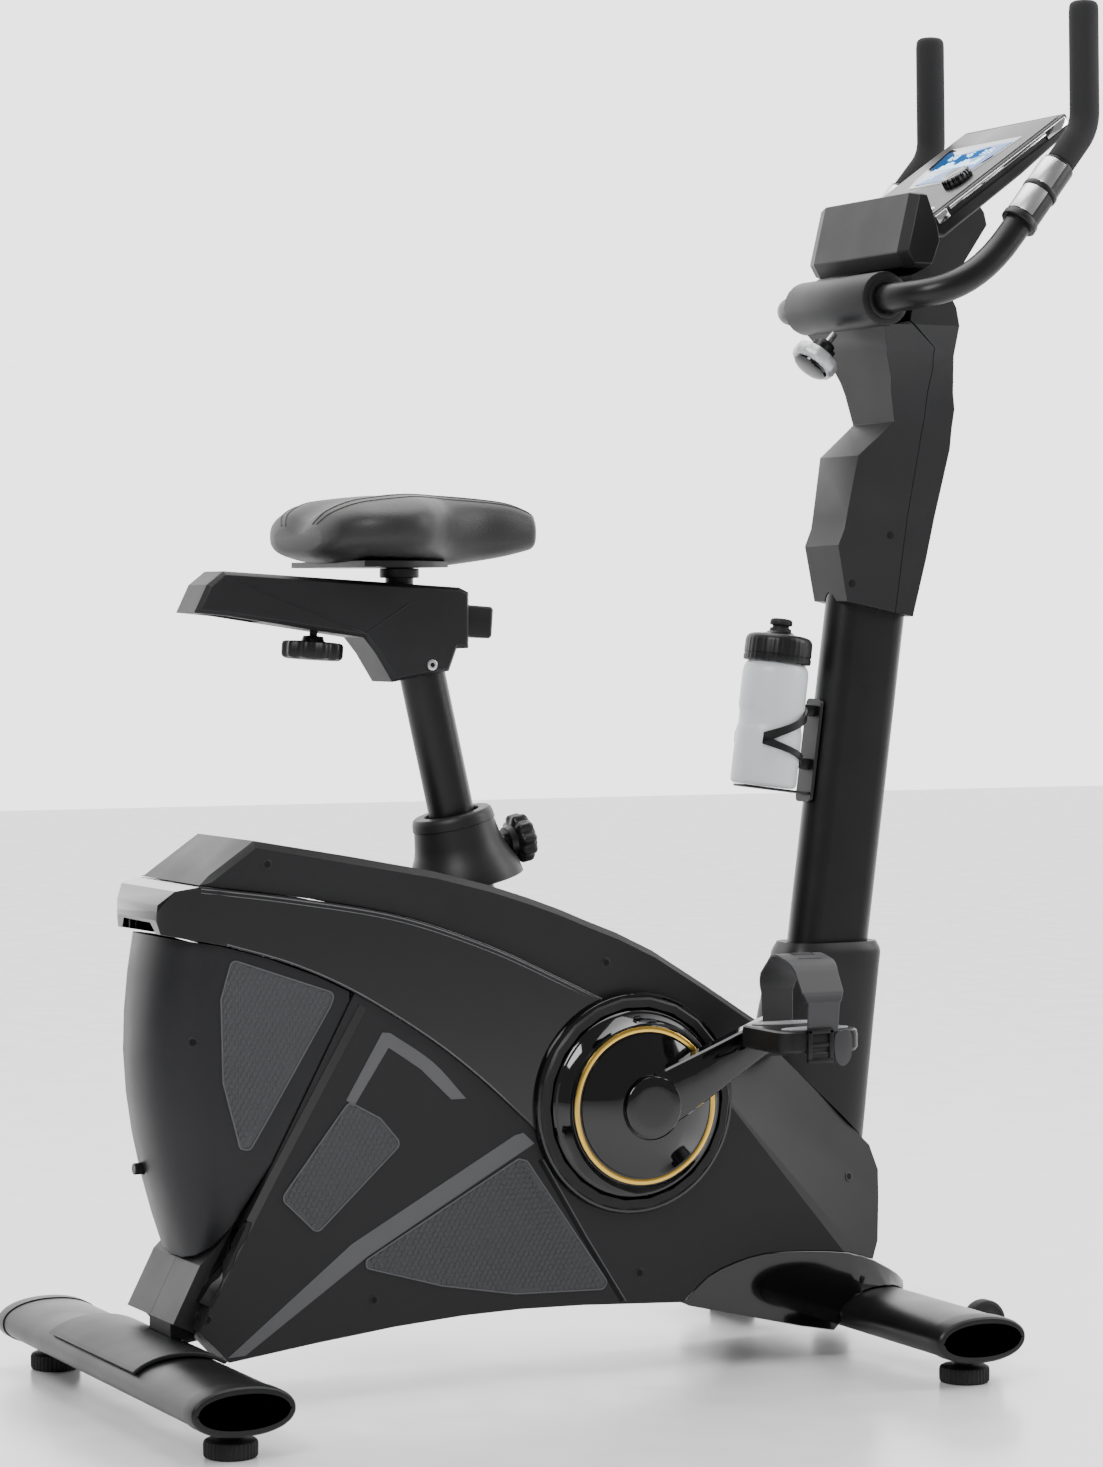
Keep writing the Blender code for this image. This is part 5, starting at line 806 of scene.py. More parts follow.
def pedal(hand, name):
    centre = CRANK + (CRANK_ALONG if hand < 0 else -CRANK_ALONG) * 0.165
    body = f"pedal_{name}"

    def spot(x, y, z):
        return centre + X * x + Y * hand * y + Z * z

    def frame_plan(inset):
        reach = 0.049 - inset
        low, high = 0.1405 + inset, 0.2400 - inset
        return [(-reach, low), (reach, low), (reach, high), (-reach, high)]

    rings = []
    for z, inset in ((-0.0135, 0.0040), (-0.0120, 0.0016), (-0.0090, 0.0), (0.0040, 0.0), (0.0090, 0.0006),
                     (0.0108, 0.0026)):
        rounds = arcs([(p, 0.017) for p in frame_plan(inset)], 8)
        rings.append([spot(x, y, z) for x, y in rounds])
    shell = skin(rings)
    add(f"pedal_body_{name}", shell, body, DARK, [body], 28)
    for index, y in enumerate((0.1580, 0.2215)):
        pad = [(0.0, 0.97), (0.0009, 1.0), (0.0018, 0.985)]
        for k in range(6):
            r = 0.90 - 0.13 * k
            pad += [(0.0018, r + 0.02), (0.0011, r), (0.0011, r - 0.035), (0.0018, r - 0.055)]
        pad.append((0.0018, 0.03))
        half_x, half_y = 0.0400, 0.0145
        bm = spun(pad, Vector((0, 0, 0)), Z, 64)
        bmesh.ops.scale(bm, verts=bm.verts, vec=(half_y, half_x, 1))
        bmesh.ops.rotate(bm, verts=bm.verts, matrix=Matrix.Rotation(math.pi / 2, 3, "Z"))
        bmesh.ops.translate(bm, verts=bm.verts, vec=spot(0, y, 0.0106))
        add(f"pedal_pad_{index}_{name}", bm, body, PAD, smooth=24)
    for index, x in enumerate((-0.047, 0.047)):
        low, high = spot(x - 0.0016, 0.162, -0.0060), spot(x + 0.0016, 0.218, 0.0020)
        corners = [Vector(map(min, low, high)), Vector(map(max, low, high))]
        add(f"pedal_reflector_{index}_{name}", bar(*corners, 0.0006), body, STRAP)
    strap(hand, name, spot, body)


def strap(hand, name, spot, body):
    """A ribbed rubber band over the foot, its buckle and the loose tail below it."""
    corners = [((0, 0.1450, 0.0125), 0), ((0, 0.1420, 0.056), 0.026), ((0, 0.1790, 0.0880), 0.030),
               ((0, 0.2180, 0.0790), 0.026), ((0, 0.2395, 0.0450), 0.020), ((0, 0.2345, -0.0050), 0)]
    path = arcs([(Vector(p), r) for p, r in corners], 7)
    path = [p for p in curve(path, 2)]

    def half_width(i):
        return 0.0180 + 0.0100 * math.sin(math.pi * i / (len(path) - 1))

    def frames(i):
        ahead = (path[min(i + 1, len(path) - 1)] - path[max(i - 1, 0)]).normalized()
        return path[i], Vector((0, -ahead.z, ahead.y))

    rings = []
    for i in range(len(path)):
        point, out = frames(i)
        half = half_width(i)
        section = (
            (-half, 0.0004), (-half + 0.0006, 0.0), (half - 0.0006, 0.0), (half, 0.0004),
            (half, 0.0026), (half - 0.0006, 0.0030), (-half + 0.0006, 0.0030), (-half, 0.0026),
        )
        rings.append([spot(x, (point + out * t).y, (point + out * t).z) for x, t in section])
    add(f"strap_band_{name}", skin(rings), body, STRAP, [f"pedal_strap_{name}"], 30)
    for k in range(14):
        i = 8 + k * 2
        if i >= len(path) - 10:
            break
        point, out = frames(i)
        ahead = Vector((0, out.z, -out.y))
        half = half_width(i) * 0.42
        rings = []
        for x in (-half, half):
            rings.append(
                [
                    spot(
                        x + (0.004 if b > 0 else 0), (point + out * a + ahead * b).y,
                        (point + out * a + ahead * b).z,
                    )
                    for a, b in (
                        (0.0026, -0.0009), (0.0036, -0.0005), (0.0036, 0.0005), (0.0026, 0.0009),
                    )
                ]
            )
        add(f"strap_rib_{k}_{name}", skin(rings), body, STRAP, smooth=20)
    for index, (low, high) in enumerate((((-0.020, 0.2385, -0.0200), (-0.015, 0.2430, 0.0120)),
                                         ((0.006, 0.2385, -0.0200), (0.011, 0.2430, 0.0120)),
                                         ((-0.020, 0.2385, 0.0080), (0.011, 0.2430, 0.0130)),
                                         ((-0.020, 0.2385, -0.0060), (0.011, 0.2424, -0.0020)),
                                         ((-0.020, 0.2385, -0.0230), (0.011, 0.2430, -0.0180)))):
        a, b = spot(*low), spot(*high)
        corners = [Vector(map(min, a, b)), Vector(map(max, a, b))]
        add(f"strap_buckle_{index}_{name}", bar(*corners, 0.0008), body, DARK)
    loop = [
        (0.0180, 0.0090), (0.0290, 0.0110), (0.0340, 0.0040), (0.0345, -0.0120), (0.0310, -0.0230),
        (0.0235, -0.0275), (0.0160, -0.0230), (0.0125, -0.0120), (0.0130, 0.0040),
    ]
    outline = [spot(x, 0.2385, z) for x, z in curve(loop + [loop[0]], 5)[:-1]]
    add(f"strap_tail_{name}", plate(outline, Y * hand * 0.0028, 0.0008), body, STRAP)


# Mast and head --------------------------------------------------------------------------------------------

MAST_DEPTH, MAST_WIDTH = 0.096, 0.052


def mast_point(z):
    return MAST_FOOT + MAST_UP * ((z - MAST_FOOT.z) / MAST_UP.z)


def mast_ring(z, grow=0.0, count=64):
    flat = (MAST_DEPTH - MAST_WIDTH) / 2
    points = []
    for i in range(count):
        angle = 2 * math.pi * (i + 0.5) / count
        c = math.cos(angle)
        ahead = math.copysign(flat, c) + c * (MAST_WIDTH / 2 + grow)
        points.append(mast_point(z) + MAST_AHEAD * ahead + Y * math.sin(angle) * (MAST_WIDTH / 2 + grow))
    return points


def mast():
    add(
        "mast_tube_shape", skin([mast_ring(z) for z in (0.330, 0.500, 0.700, 0.960)]), "frame", TUBE,
        ["mast_tube"], 40,
    )
    for node in ("mast_shroud_rear", "mast_shroud_front"):
        refined(node, MATTE, 0.0022, angle=28)
    sleeve = [(-0.0866, 0.0240), (-0.0866, 0.0282), (-0.0858, 0.0296), (-0.0840, 0.0302), (0.0840, 0.0302),
              (0.0858, 0.0296), (0.0866, 0.0282), (0.0866, 0.0240)]
    add("head_sleeve", spun(sleeve, BAR, Y, 96), "frame", MATTE)
    for hand, name in SIDES:
        collar = [
            (0.0862, 0.0164), (0.0882, 0.0168), (0.0888, 0.0180), (0.0888, 0.0205), (0.0880, 0.0222),
            (0.0862, 0.0228),
        ]
        add(f"bar_collar_{name}", washer(collar, BAR, Y * hand, 72), "frame", DARK)
        for index, (x, z) in enumerate(((0.8340, 0.8560), (0.8830, 0.9100))):
            # A near black disc at each shroud screw: painted shade in the screw hole.
            hole = spun([(-0.0006, 0.0042), (0.0004, 0.0042), (0.0006, 0.0036)], place(x, 0, z), Y, 24)
            add(f"shroud_screw_shade_{index}_{name}", lay_on(hole, "mast_shroud_rear", hand, 0.036), "frame", PAINTED_SHADE)


BAR_SPAN, BAR_TIP_SPAN = 0.165, 0.159
RAMP_LOW, RAMP_HIGH, BAR_TIP = (0.905, 1.171), (1.058, 1.360), (1.056, 1.500)
BAR_STRAIGHT, BAR_SWEEP = 0.092, 0.085
SENSOR_START, GRIP_START = 0.100, 0.1885


def bar_path(hand, steps=14):
    """The bar's centre line: straight out of the head, a long bend up onto the ramp, a bend and the tip."""
    start, end = BAR + Y * hand * BAR_STRAIGHT, on_ramp(BAR_SWEEP, hand)
    pulls = (start, start + Y * hand * BAR_SWEEP, place(RAMP_LOW[0], hand * BAR_SPAN, RAMP_LOW[1]), end)
    line = [BAR]
    for k in range(steps + 1):
        t = k / steps
        shares = ((1 - t) ** 3, 3 * t * (1 - t) ** 2, 3 * t * t * (1 - t), t**3)
        line.append(sum((pull * share for pull, share in zip(pulls, shares)), Vector((0, 0, 0))))
    bend = place(RAMP_HIGH[0], hand * BAR_TIP_SPAN, RAMP_HIGH[1])
    tip = place(BAR_TIP[0], hand * BAR_TIP_SPAN, BAR_TIP[1])
    return line + arcs([(end, 0), (bend, 0.050), (tip, 0)], steps)[1:]


def on_ramp(distance, hand):
    low = place(RAMP_LOW[0], hand * BAR_SPAN, RAMP_LOW[1])
    high = place(RAMP_HIGH[0], hand * BAR_TIP_SPAN, RAMP_HIGH[1])
    return low + (high - low).normalized() * distance


def handlebar():
    right, left = bar_path(RIGHT)[:-1], bar_path(LEFT)[:-1]
    path = list(reversed(right)) + left[1:]
    add("handlebar_tube", tube(path, 0.0158), "handlebar", TUBE, ["handlebar"], 60)
    for hand, name in SIDES:
        full = bar_path(hand)
        axis = (on_ramp(1.0, hand) - on_ramp(0.0, hand)).normalized()
        start = on_ramp(GRIP_START, hand)
        after = [p for p in full if (p - start).dot(axis) > 0.004]
        tip = full[-1]
        path = [start, start + axis * 0.0006, start + axis * 0.0022] + after[:-1]
        radii = [0.0148, 0.0160, 0.0165] + [0.0165] * (len(path) - 3)
        for up, radius in (
            (-0.012, 0.0165), (-0.0060, 0.0160), (-0.0028, 0.0145), (-0.0009, 0.0115), (0.0, 0.0070),
        ):
            path.append(tip + Z * up)
            radii.append(radius)
        add(f"foam_grip_{name}", tube(path, radii, 48), "handlebar", FOAM, [f"hand_grip_{name}"], 50)
        low = on_ramp(SENSOR_START, hand)
        shell = [
            (0.0, 0.0165), (0.0004, 0.0200), (0.0014, 0.0210), (0.0072, 0.0210), (0.0082, 0.0206),
            (0.0086, 0.0192), (0.0840, 0.0192), (0.0862, 0.0188), (0.0880, 0.0168),
        ]
        add(
            f"pulse_shell_{name}", spun(shell, low, axis, 72), "handlebar", DARK,
            [f"pulse_sensor_{name}"],
        )
        back = (Z - axis * axis.z).normalized()
        across = axis.cross(back)
        for index, (start_s, end_s) in enumerate(((0.0100, 0.0440), (0.0500, 0.0835))):
            rings = []
            for s, lift in ((start_s, 0.0190), (start_s + 0.0004, 0.0197), (start_s + 0.0012, 0.0199),
                            (end_s - 0.0012, 0.0199), (end_s - 0.0004, 0.0197), (end_s, 0.0190)):
                angles = [math.radians(-86 + 172 * k / 24) for k in range(25)]
                outer = [low + axis * s + (back * math.cos(a) + across * math.sin(a)) * lift for a in angles]
                inner = [
                    low + axis * s + (back * math.cos(a) + across * math.sin(a)) * 0.0185
                    for a in reversed(angles)
                ]
                rings.append(outer + inner)
            add(f"pulse_plate_{index}_{name}", skin(rings), "handlebar", STEEL, smooth=40)
        band = [
            (0.0440, 0.0185), (0.0440, 0.0203), (0.0448, 0.0206), (0.0492, 0.0206), (0.0500, 0.0203),
            (0.0500, 0.0185),
        ]
        add(f"pulse_band_{name}", washer(band, low, axis, 64), "handlebar", DARK)
    knob()


def knob():
    stem = [(-0.004, 0.0040), (0.0106, 0.0042)]
    add(
        "handlebar_knob_stem", spun(stem, KNOB_NECK, KNOB_OUT, 32), "handlebar_lock", STEEL,
    )
    neck = [
        (0.0106, 0.0095), (0.0110, 0.0102), (0.0158, 0.0102), (0.0163, 0.0142), (0.0168, 0.0150),
        (0.0262, 0.0150), (0.0268, 0.0144),
    ]
    add(
        "handlebar_knob_collar", spun(neck, KNOB_NECK, KNOB_OUT, 96, 8, 0.0016, 0.012),
        "handlebar_lock", DARK, smooth=24,
    )
    ring = [
        (0.0268, 0.0215), (0.0280, 0.0255), (0.0300, 0.0268), (0.0380, 0.0270), (0.0420, 0.0255),
        (0.0438, 0.0228),
    ]
    add(
        "handlebar_knob_ring", spun(ring, KNOB_NECK, KNOB_OUT, 120, 12, 0.0008, 0.0245),
        "handlebar_lock", SILVER, ["handlebar_knob"],
    )
    dome = [
        (0.0430, 0.0200), (0.0442, 0.0210), (0.0462, 0.0204), (0.0480, 0.0178), (0.0492, 0.0130),
        (0.0499, 0.0070), (0.0500, 0.0030),
    ]
    add(
        "handlebar_knob_dome", spun(dome, KNOB_NECK, KNOB_OUT, 96), "handlebar_lock", GLOSS,
    )


# Console --------------------------------------------------------------------------------------------------

FACE_LENGTH = (FACE_HIGH - FACE_LOW).length
SEGMENTS = {
    "0": "abcdef", "1": "bc", "2": "abged", "3": "abgcd", "4": "fgbc", "5": "afgcd", "6": "afgedc",
    "8": "abcdefg",
}


def face(a, y, out=0.0):
    """A point of the console's face: distance up it, distance across the bike, height off it."""
    return FACE_LOW + FACE_ALONG * a + Y * y + FACE_OUT * out


def face_plate(corners, low, high, radius=0.0, bevel=0.0):
    corners = arcs([(c, radius) for c in corners], 6) if radius else corners
    return plate([face(a, y, low) for a, y in corners], FACE_OUT * (high - low), bevel)


def display_marks():
    """The display's plain figures: five numbers and a row of bars."""
    marks = bmesh.new()

    def mark(a, y, half_a, half_y):
        made = bmesh.ops.create_cube(marks, size=1.0)["verts"]
        bmesh.ops.scale(marks, verts=made, vec=(2 * half_a, 2 * half_y, 0.0004))
        turn = Matrix((FACE_ALONG, Y, FACE_OUT)).transposed().to_4x4()
        bmesh.ops.transform(marks, matrix=Matrix.Translation(face(a, y, 0.0021)) @ turn, verts=made)

    for number, a, y in (
        ("128", 0.150, 0.046), ("46", 0.150, 0.006), ("305", 0.150, -0.026), ("20", 0.108, 0.034),
        ("64", 0.108, -0.020),
    ):
        for k, digit in enumerate(number):
            left = y - k * 0.0085
            for name, da, dy, ha, hy in (
                ("a", 0.0045, 0, 0.0005, 0.0022), ("g", 0, 0, 0.0005, 0.0022),
                ("d", -0.0045, 0, 0.0005, 0.0022), ("b", 0.00225, -0.0027, 0.0017, 0.0005),
                ("c", -0.00225, -0.0027, 0.0017, 0.0005), ("f", 0.00225, 0.0027, 0.0017, 0.0005),
                ("e", -0.00225, 0.0027, 0.0017, 0.0005),
            ):
                if name in SEGMENTS[digit]:
                    mark(a + da, left + dy, ha, hy)
    for k in range(15):
        height = 0.0020 + 0.0065 * abs(math.sin(k * 0.55))
        mark(0.1220 + height, 0.0420 - k * 0.0060, height, 0.0018)
    return marks


def console():
    refined("console_shell", DARK, 0.0020, angle=28)
    rim = [
        (0.0045, -0.0975), (FACE_LENGTH - 0.0062, -0.0975), (FACE_LENGTH - 0.0062, 0.0975),
        (0.0045, 0.0975),
    ]
    add(
        "console_bezel", face_plate(rim, -0.0040, 0.0012, 0.004, 0.0006), "frame", BEZEL,
        ["console_face"], 24,
    )
    around = [
        (0.0860, -0.0520), (0.1080, -0.0640), (0.1760, -0.0760), (0.1760, 0.0760), (0.1080, 0.0640),
        (0.0860, 0.0520),
    ]
    add("display_surround", face_plate(around, 0.0008, 0.0016, 0.004, 0.0003), "frame", GLOSS)
    glass = [(0.0930, -0.0470), (0.1670, -0.0680), (0.1670, 0.0680), (0.0930, 0.0470)]
    add("display_glass", face_plate(glass, 0.0012, 0.0020, 0.004, 0.0003), "frame", LENS)
    add("display_figures", display_marks(), "frame", DIGIT, smooth=20)
    for hand, name in SIDES:
        strip = bar((-0.090, -0.0010, -0.0019), (0.090, 0.0010, 0.0019), 0.0006)
        turn = Matrix((FACE_ALONG, Y, FACE_OUT)).transposed().to_4x4()
        bmesh.ops.transform(
            strip, matrix=Matrix.Translation(face(0.120, hand * 0.1052, -0.0040)) @ turn,
            verts=strip.verts,
        )
        add(f"console_strip_{name}", strip, "frame", CHROME)
        for index, (a, half, tall) in enumerate(((0.0165, 0.0085, 0.0052), (0.1990, 0.0165, 0.0048))):
            clip = bar((-half, -0.0012, -tall), (half, 0.0012, tall), 0.0008)
            bmesh.ops.transform(
                clip, matrix=Matrix.Translation(face(a, hand * 0.1054, -0.0065)) @ turn,
                verts=clip.verts,
            )
            add(f"console_clip_{index}_{name}", clip, "frame", CHROME)
        # A near black bar along the console's side: painted shade in a groove.
        rail = bar((-0.105, -0.0010, -0.0010), (0.105, 0.0010, 0.0010), 0.0004)
        bmesh.ops.transform(
            rail, matrix=Matrix.Translation(face(0.112, hand * 0.1048, -0.0120)) @ turn,
            verts=rail.verts,
        )
        add(f"console_groove_shade_{name}", rail, "frame", PAINTED_SHADE)
    dial_at = face(0.083, -0.060)
    dial = [
        (0.0014, 0.0160), (0.0016, 0.0178), (0.0024, 0.0180), (0.0100, 0.0176), (0.0118, 0.0168),
        (0.0128, 0.0150), (0.0130, 0.0120), (0.0124, 0.0100),
    ]
    add(
        "dial_knob", spun(dial, dial_at, FACE_OUT, 144, 24, 0.0010, 0.0160), "dial", GLOSS,
        ["console_dial"],
    )
    for index, (name, y) in enumerate((("reset", -0.030), ("mode", -0.055), ("set", -0.080))):
        button = [(0.0004, 0.0078), (0.0016, 0.0078), (0.0022, 0.0074), (0.0025, 0.0062), (0.0024, 0.0020)]
        add(
            f"button_cap_{name}", spun(button, face(0.022, y), FACE_OUT, 48, scale=(1.0, 0.62)),
            f"button_{name}", CHROME, [f"console_button_{name}"],
        )


# Bottle ---------------------------------------------------------------------------------------------------


def bottle():
    foot = mast_point(0.6175) - MAST_AHEAD * (MAST_DEPTH / 2 + 0.0575)
    outside = [
        (0.0004, 0.0310), (0.0, 0.0330), (0.0012, 0.0352), (0.0034, 0.0366), (0.0060, 0.0370),
        (0.0420, 0.0370), (0.0600, 0.0369), (0.0640, 0.0360), (0.0670, 0.0352), (0.0810, 0.0352),
        (0.0840, 0.0360), (0.0880, 0.0369), (0.1240, 0.0369), (0.1300, 0.0362), (0.1340, 0.0346),
        (0.1370, 0.0318), (0.1372, 0.0290), (0.1500, 0.0288),
    ]
    inside = [
        (0.1500, 0.0272), (0.1360, 0.0272), (0.1300, 0.0338), (0.0880, 0.0346), (0.0660, 0.0332),
        (0.0060, 0.0346), (0.0030, 0.0320),
    ]
    add(
        "bottle_body", spun(outside + inside, foot, MAST_UP, 96), "bottle", CLOUDY, ["bottle"],
    )
    top = foot + MAST_UP * 0.1382
    lid = [
        (0.0, 0.0364), (0.0006, 0.0374), (0.0018, 0.0378), (0.0060, 0.0378), (0.0066, 0.0370),
        (0.0078, 0.0370), (0.0084, 0.0377), (0.0225, 0.0374), (0.0262, 0.0364), (0.0290, 0.0338),
        (0.0304, 0.0290), (0.0312, 0.0200), (0.0322, 0.0160), (0.0340, 0.0140),
    ]
    add(
        "lid_cap", spun(lid, top, MAST_UP, 144, 36, 0.0006, 0.0368), "lid", DARK, ["bottle_lid"],
    )
    spout = [
        (0.0330, 0.0125), (0.0380, 0.0118), (0.0384, 0.0095), (0.0410, 0.0092), (0.0414, 0.0120),
        (0.0424, 0.0126), (0.0460, 0.0124), (0.0480, 0.0112), (0.0488, 0.0080), (0.0486, 0.0040),
    ]
    add("lid_spout", spun(spout, top, MAST_UP, 64), "lid", RUBBER)

    def spot(ahead, y, up):
        return foot + MAST_AHEAD * ahead + Y * y + MAST_UP * up

    back = 0.0569
    outline = arcs(
        [
            ((y, s), 0.006)
            for y, s in ((-0.016, -0.012), (0.016, -0.012), (0.016, 0.104), (-0.016, 0.104))
        ],
        6,
    )
    add(
        "cage_plate",
        plate([spot(back - 0.0042, y, s) for y, s in outline], MAST_AHEAD * 0.0042, 0.0008), "frame",
        DARK, ["bottle_cage"],
    )
    for hand, name in SIDES:
        for arm, (start, end, half) in enumerate(((0.090, 0.052, 0.0062), (0.030, 0.050, 0.0048))):
            rings = []
            for k in range(25):
                t = k / 24
                angle = math.radians(6 + 122 * t) * hand
                height = start + (end - start) * t
                low, high = 0.0376, 0.0406
                wide = half * (1.0 - 0.25 * math.sin(math.pi * t))
                rings.append([spot(r * math.cos(angle), r * math.sin(angle), height + s)
                              for r, s in ((low, -wide), (high - 0.0006, -wide), (high, -wide + 0.0006),
                                           (high, wide - 0.0006), (high - 0.0006, wide), (low, wide))])
            add(f"cage_arm_{arm}_{name}", skin(rings), "frame", DARK, smooth=40)
    for index, (low, high) in enumerate((((0.0380, -0.010, 0.084), (0.0540, 0.010, 0.096)),
                                         ((0.0380, -0.010, 0.024), (0.0540, 0.010, 0.036)))):
        bm = bar(low, high, 0.0010)
        turn = Matrix((MAST_AHEAD, Y, MAST_UP)).transposed().to_4x4()
        bmesh.ops.transform(bm, matrix=Matrix.Translation(foot) @ turn, verts=bm.verts)
        add(f"cage_bridge_{index}", bm, "frame", DARK)
    tongue = bar((-0.0300, -0.014, -0.0038), (0.0540, 0.014, -0.0010), 0.0008)
    bmesh.ops.transform(tongue, matrix=Matrix.Translation(foot) @ turn, verts=tongue.verts)
    add("cage_tongue", tongue, "frame", DARK)


# Seat -----------------------------------------------------------------------------------------------------


def on_slide(along, y, up):
    return SLIDE_MIDDLE + SLIDE_AHEAD * along + Y * y + SLIDE_UP * up


def seat():
    top = place(0.325, 0, 0.752) + SEAT_UP * 0.030
    bottom = SEAT_MOUTH - SEAT_UP * 0.240
    length = (top - bottom).length
    add(
        "seat_post_tube",
        spun(
            [(0.0, 0.0240), (0.0006, 0.0245), (length - 0.0006, 0.0245), (length, 0.0240)], bottom,
            SEAT_UP, 96,
        ),
        "seat_post", TUBE, ["seat_post"],
    )
    # Near black discs at the post's adjustment holes: painted shade.
    for k in range(5):
        spot = PIN_SEAT + SEAT_UP * (0.062 + 0.025 * k) + PIN_OUT * 0.0238
        add(
            f"post_hole_shade_{k}",
            spun([(0.0, 0.0046), (0.0009, 0.0046), (0.0010, 0.0040)], spot, PIN_OUT, 24), "seat_post",
            PAINTED_SHADE,
        )
    stem = [(0.0254, 0.0042), (0.0324, 0.0046), (0.0329, 0.0088), (0.0560, 0.0088)]
    add("post_knob_stem", spun(stem, PIN_SEAT, PIN_OUT, 40), "seat_post_knob", DARK)
    grip = [
        (0.0560, 0.0120), (0.0562, 0.0160), (0.0630, 0.0172), (0.0642, 0.0225), (0.0652, 0.0252),
        (0.0672, 0.0268), (0.0700, 0.0270), (0.0775, 0.0270), (0.0800, 0.0262), (0.0824, 0.0236),
        (0.0834, 0.0200), (0.0836, 0.0150), (0.0848, 0.0140), (0.0855, 0.0105), (0.0855, 0.0040),
    ]
    add(
        "post_knob_grip", spun(grip, PIN_SEAT, PIN_OUT, 200, 10, 0.0034, 0.0215), "seat_post_knob",
        DARK, ["seat_post_knob"],
    )
    refined("slider_shroud", MATTE, 0.0016, angle=28)
    for hand, name in SIDES:
        screw = washer([(0.0, 0.0022), (0.0014, 0.0026), (0.0016, 0.0046), (0.0012, 0.0056), (0.0, 0.0060)],
                       place(0.321, hand * 0.0308, 0.768), Y * hand, 32)
        add(f"shroud_bolt_{name}", screw, "seat_post", STEEL)
        # A near black hexagon in the bolt head: painted shade in its socket.
        well = spun([(0.0, 0.0024), (0.0005, 0.0024)], place(0.321, hand * 0.0308, 0.768), Y * hand, 6)
        add(f"bolt_socket_shade_{name}", well, "seat_post", PAINTED_SHADE)
        facet = [(0.1010, 0.8560), (0.2450, 0.8010), (0.2950, 0.8330)]
        edge = []
        for start, end in zip(facet, facet[1:]):
            edge.append((Vector(start), Vector(end)))
        for index, (start, end) in enumerate(edge):
            seam_line(
                f"shroud_facet_{index}_{name}", [start, start.lerp(end, 0.5), end], "slider_shroud",
                hand, 0.0016, 0.0005, TAIL, "seat_post",
            )
    half_height = 0.017
    rail = bmesh.new()
    bmesh.ops.create_cube(rail, size=1.0)
    bmesh.ops.scale(rail, verts=rail.verts, vec=(0.238, 0.035, 2 * half_height))
    bmesh.ops.bevel(
        rail, geom=rail.edges[:], offset=0.0025, segments=3, profile=0.5, affect="EDGES", material=-1,
    )
    turn = Matrix((SLIDE_AHEAD, Y, SLIDE_UP)).transposed().to_4x4()
    bmesh.ops.transform(rail, matrix=Matrix.Translation(on_slide(-0.119, 0, 0)) @ turn, verts=rail.verts)
    add("slider_rail_shape", rail, "saddle", TUBE, ["slider_rail"])
    plug = bar((-0.0014, -0.0155, -0.0150), (0.0012, 0.0155, 0.0150), 0.0010)
    bmesh.ops.transform(plug, matrix=Matrix.Translation(on_slide(0.0002, 0, 0)) @ turn, verts=plug.verts)
    add("slider_rail_plug", plug, "saddle", DARK)
    post_foot = place(0.297, 0, 0.8196) + Z * 0.010
    add(
        "saddle_post", spun([(0.0, 0.0150), (0.0500, 0.0150)], post_foot, Z, 64), "saddle", TUBE,
    )
    add("saddle_clamp", spun([(0.0, 0.0200), (0.0010, 0.0210), (0.0090, 0.0210), (0.0100, 0.0200)],
                             place(0.297, 0, 0.8600), Z, 64), "saddle", DARK)
    knob_at = place(0.198, 0, 0.8020)
    stem = [(-0.0030, 0.0042), (0.0030, 0.0042), (0.0035, 0.0105), (0.0085, 0.0120), (0.0092, 0.0180)]
    add("slider_knob_stem", spun(stem, knob_at, -SLIDE_UP, 48), "saddle_lock", DARK)
    grip = [
        (0.0092, 0.0230), (0.0095, 0.0290), (0.0105, 0.0314), (0.0128, 0.0325), (0.0230, 0.0325),
        (0.0262, 0.0314), (0.0280, 0.0285), (0.0284, 0.0240), (0.0276, 0.0160), (0.0276, 0.0040),
    ]
    add(
        "slider_knob_grip", spun(grip, knob_at, -SLIDE_UP, 200, 10, 0.0036, 0.0262), "saddle_lock",
        DARK, ["slider_knob"],
    )


SADDLE_STATIONS = ((0.180, 0.062, 0.888, 0.914), (0.184, 0.082, 0.884, 0.922), (0.192, 0.101, 0.880, 0.931),
                   (0.214, 0.121, 0.875, 0.941), (0.245, 0.130, 0.8725, 0.946), (0.275, 0.124, 0.8715, 0.949),
                   (0.303, 0.098, 0.8715, 0.949), (0.330, 0.064, 0.8715, 0.948), (0.370, 0.045, 0.876, 0.946),
                   (0.410, 0.039, 0.882, 0.942), (0.437, 0.031, 0.888, 0.934), (0.448, 0.022, 0.891, 0.928),
                   (0.453, 0.010, 0.896, 0.919))


def saddle_section(x, half, low, high, count=64):
    """A saddle's cut across the bike: flat underneath, upright sides, a soft top with a dip at the back."""
    points = []
    middle, tall = (low + high) / 2, (high - low) / 2
    for k in range(count):
        c = math.cos(2 * math.pi * k / count)
        s = math.sin(2 * math.pi * k / count)
        y = math.copysign(abs(c) ** 0.72, c) * half
        z = middle + math.copysign(abs(s) ** 0.80, s) * tall
        if s > 0:
            behind = min(max((0.320 - x) / 0.12, 0), 1)
            z -= 0.010 * behind * math.exp(-((y / 0.030) ** 2)) * s
        points.append(place(x, y, z))
    return points


PAN_REAR, PAN_FRONT = 0.20, 0.36
PAN_SHARE = 0.80


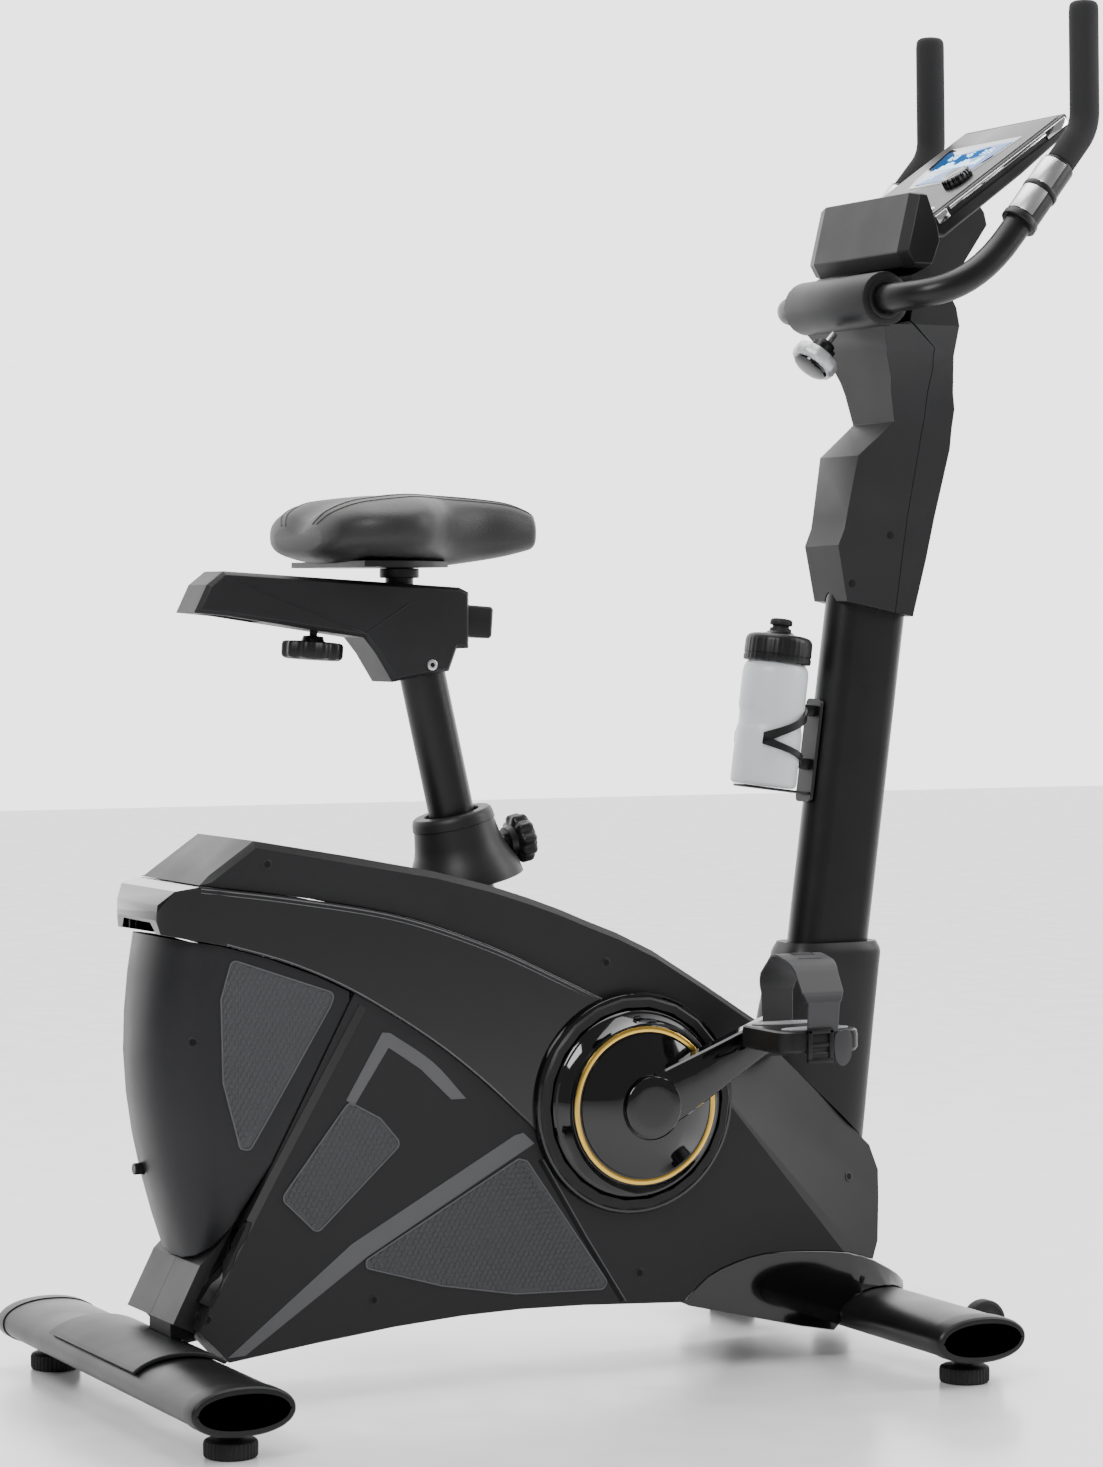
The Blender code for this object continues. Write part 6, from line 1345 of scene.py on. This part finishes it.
def saddle():
    """The cushion, two stitched seams round each side and the pan under it."""
    smooth = curve(SADDLE_STATIONS, 4)
    cushion = add(
        "saddle_cover", skin([saddle_section(*s) for s in smooth]), "saddle", LEATHER,
        ["saddle_cushion"], 60,
    )
    for line, share in enumerate((0.30, 0.38)):
        for hand, name in SIDES:
            path = []
            for s in smooth[2:-1]:
                points = saddle_section(*s)
                index = round(len(points) * (share / 2 if hand > 0 else 0.5 - share / 2))
                path.append(points[index])
            add(
                f"saddle_piping_{line}_{name}", tube(curve(path, 2), 0.0008, 8), "saddle", THREAD,
            )
    pan = []
    for x, half, *_ in SADDLE_STATIONS:
        if PAN_REAR < x < PAN_FRONT:
            pan.append((x, half * PAN_SHARE))
    outline = [place(x, -y, 0.8708) for x, y in pan] + [place(x, y, 0.8708) for x, y in reversed(pan)]
    add("saddle_pan", plate(outline, Z * 0.0060, 0.0), "saddle", DARK)


# Carried-over pieces --------------------------------------------------------------------------------------

CARRIED = {
    "main_frame": TUBE, "crank_spindle": STEEL, "crank_pulley": DARK, "drive_belt": RUBBER, "flywheel": IRON,
    "brake_arm": STEEL, "servo_motor": DARK, "power_inlet": DARK,
}


def carried():
    """Gives each CAD piece that stays visible its finish, on every slot it has."""
    for node, material in CARRIED.items():
        for slot in NODES[node].material_slots:
            slot.link = "OBJECT"
            slot.material = material


casing()
side_details()
boots()
base()
for side_sign, side_name in SIDES:
    crank(side_sign, side_name)
    pedal(side_sign, side_name)
mast()
handlebar()
console()
bottle()
seat()
saddle()
carried()


# Studio ---------------------------------------------------------------------------------------------------


def area_light(name, spot, target, size, power, tall=None):
    data = bpy.data.lights.new(name, "AREA")
    data.shape = "RECTANGLE"
    data.size, data.size_y = size, tall or size
    data.energy = power
    obj = bpy.data.objects.new(name, data)
    obj.location = spot
    obj.rotation_euler = (Vector(target) - Vector(spot)).to_track_quat("-Z", "Y").to_euler()
    bpy.context.scene.collection.objects.link(obj)


FLOOR_HALF = 12.0
AWAY_FROM_CAMERA = (0.4486, 0.8937, 0.10)
BACKDROP_DIM, BACKDROP_BRIGHT, BACKDROP_FULL_AT = 0.30, 3.0, 0.7
CAMERA_LENS, CAMERA_SENSOR = 96.93, 36.0
CAMERA_SPOT = (-1.948, -3.818, 0.8205)
CAMERA_TILT, CAMERA_TURN = math.radians(88.285), math.radians(-26.65)


def studio():
    """The floor, a world that is brighter behind the bike, three soft lights and the camera."""
    floor = bpy.data.meshes.new("studio_floor")
    bm = bmesh.new()
    bmesh.ops.create_grid(bm, x_segments=1, y_segments=1, size=FLOOR_HALF)
    bm.to_mesh(floor)
    bm.free()
    floor.materials.append(FLOOR)
    ground = bpy.data.objects.new("studio_floor", floor)
    bpy.context.scene.collection.objects.link(ground)
    world = bpy.data.worlds.new("studio")
    world.use_nodes = True
    tree = world.node_tree
    backdrop = tree.nodes["Background"]
    backdrop.inputs["Color"].default_value = (1.0, 1.0, 1.0, 1)
    direction = tree.nodes.new("ShaderNodeTexCoord")
    facing = tree.nodes.new("ShaderNodeVectorMath")
    facing.operation = "DOT_PRODUCT"
    facing.inputs[1].default_value = AWAY_FROM_CAMERA
    glow = tree.nodes.new("ShaderNodeMapRange")
    glow.inputs["From Min"].default_value = 0.0
    glow.inputs["From Max"].default_value = BACKDROP_FULL_AT
    glow.inputs["To Min"].default_value = BACKDROP_DIM
    glow.inputs["To Max"].default_value = BACKDROP_BRIGHT
    tree.links.new(direction.outputs["Generated"], facing.inputs[0])
    tree.links.new(facing.outputs["Value"], glow.inputs["Value"])
    tree.links.new(glow.outputs["Result"], backdrop.inputs["Strength"])
    bpy.context.scene.world = world
    area_light("key_light", (-2.6, -2.2, 3.2), (0, 0, 0.7), 1.6, 120)
    area_light("rim_light", (2.6, -1.2, 2.2), (0, 0, 0.8), 1.0, 60, 2.2)
    area_light("top_light", (0.2, 0.4, 3.6), (0, 0, 0.5), 2.4, 80)
    data = bpy.data.cameras.new("camera")
    data.lens = CAMERA_LENS
    data.sensor_width = CAMERA_SENSOR
    camera = bpy.data.objects.new("camera", data)
    camera.location = CAMERA_SPOT
    camera.rotation_euler = (CAMERA_TILT, 0, CAMERA_TURN)
    bpy.context.scene.collection.objects.link(camera)
    bpy.context.scene.camera = camera


studio()
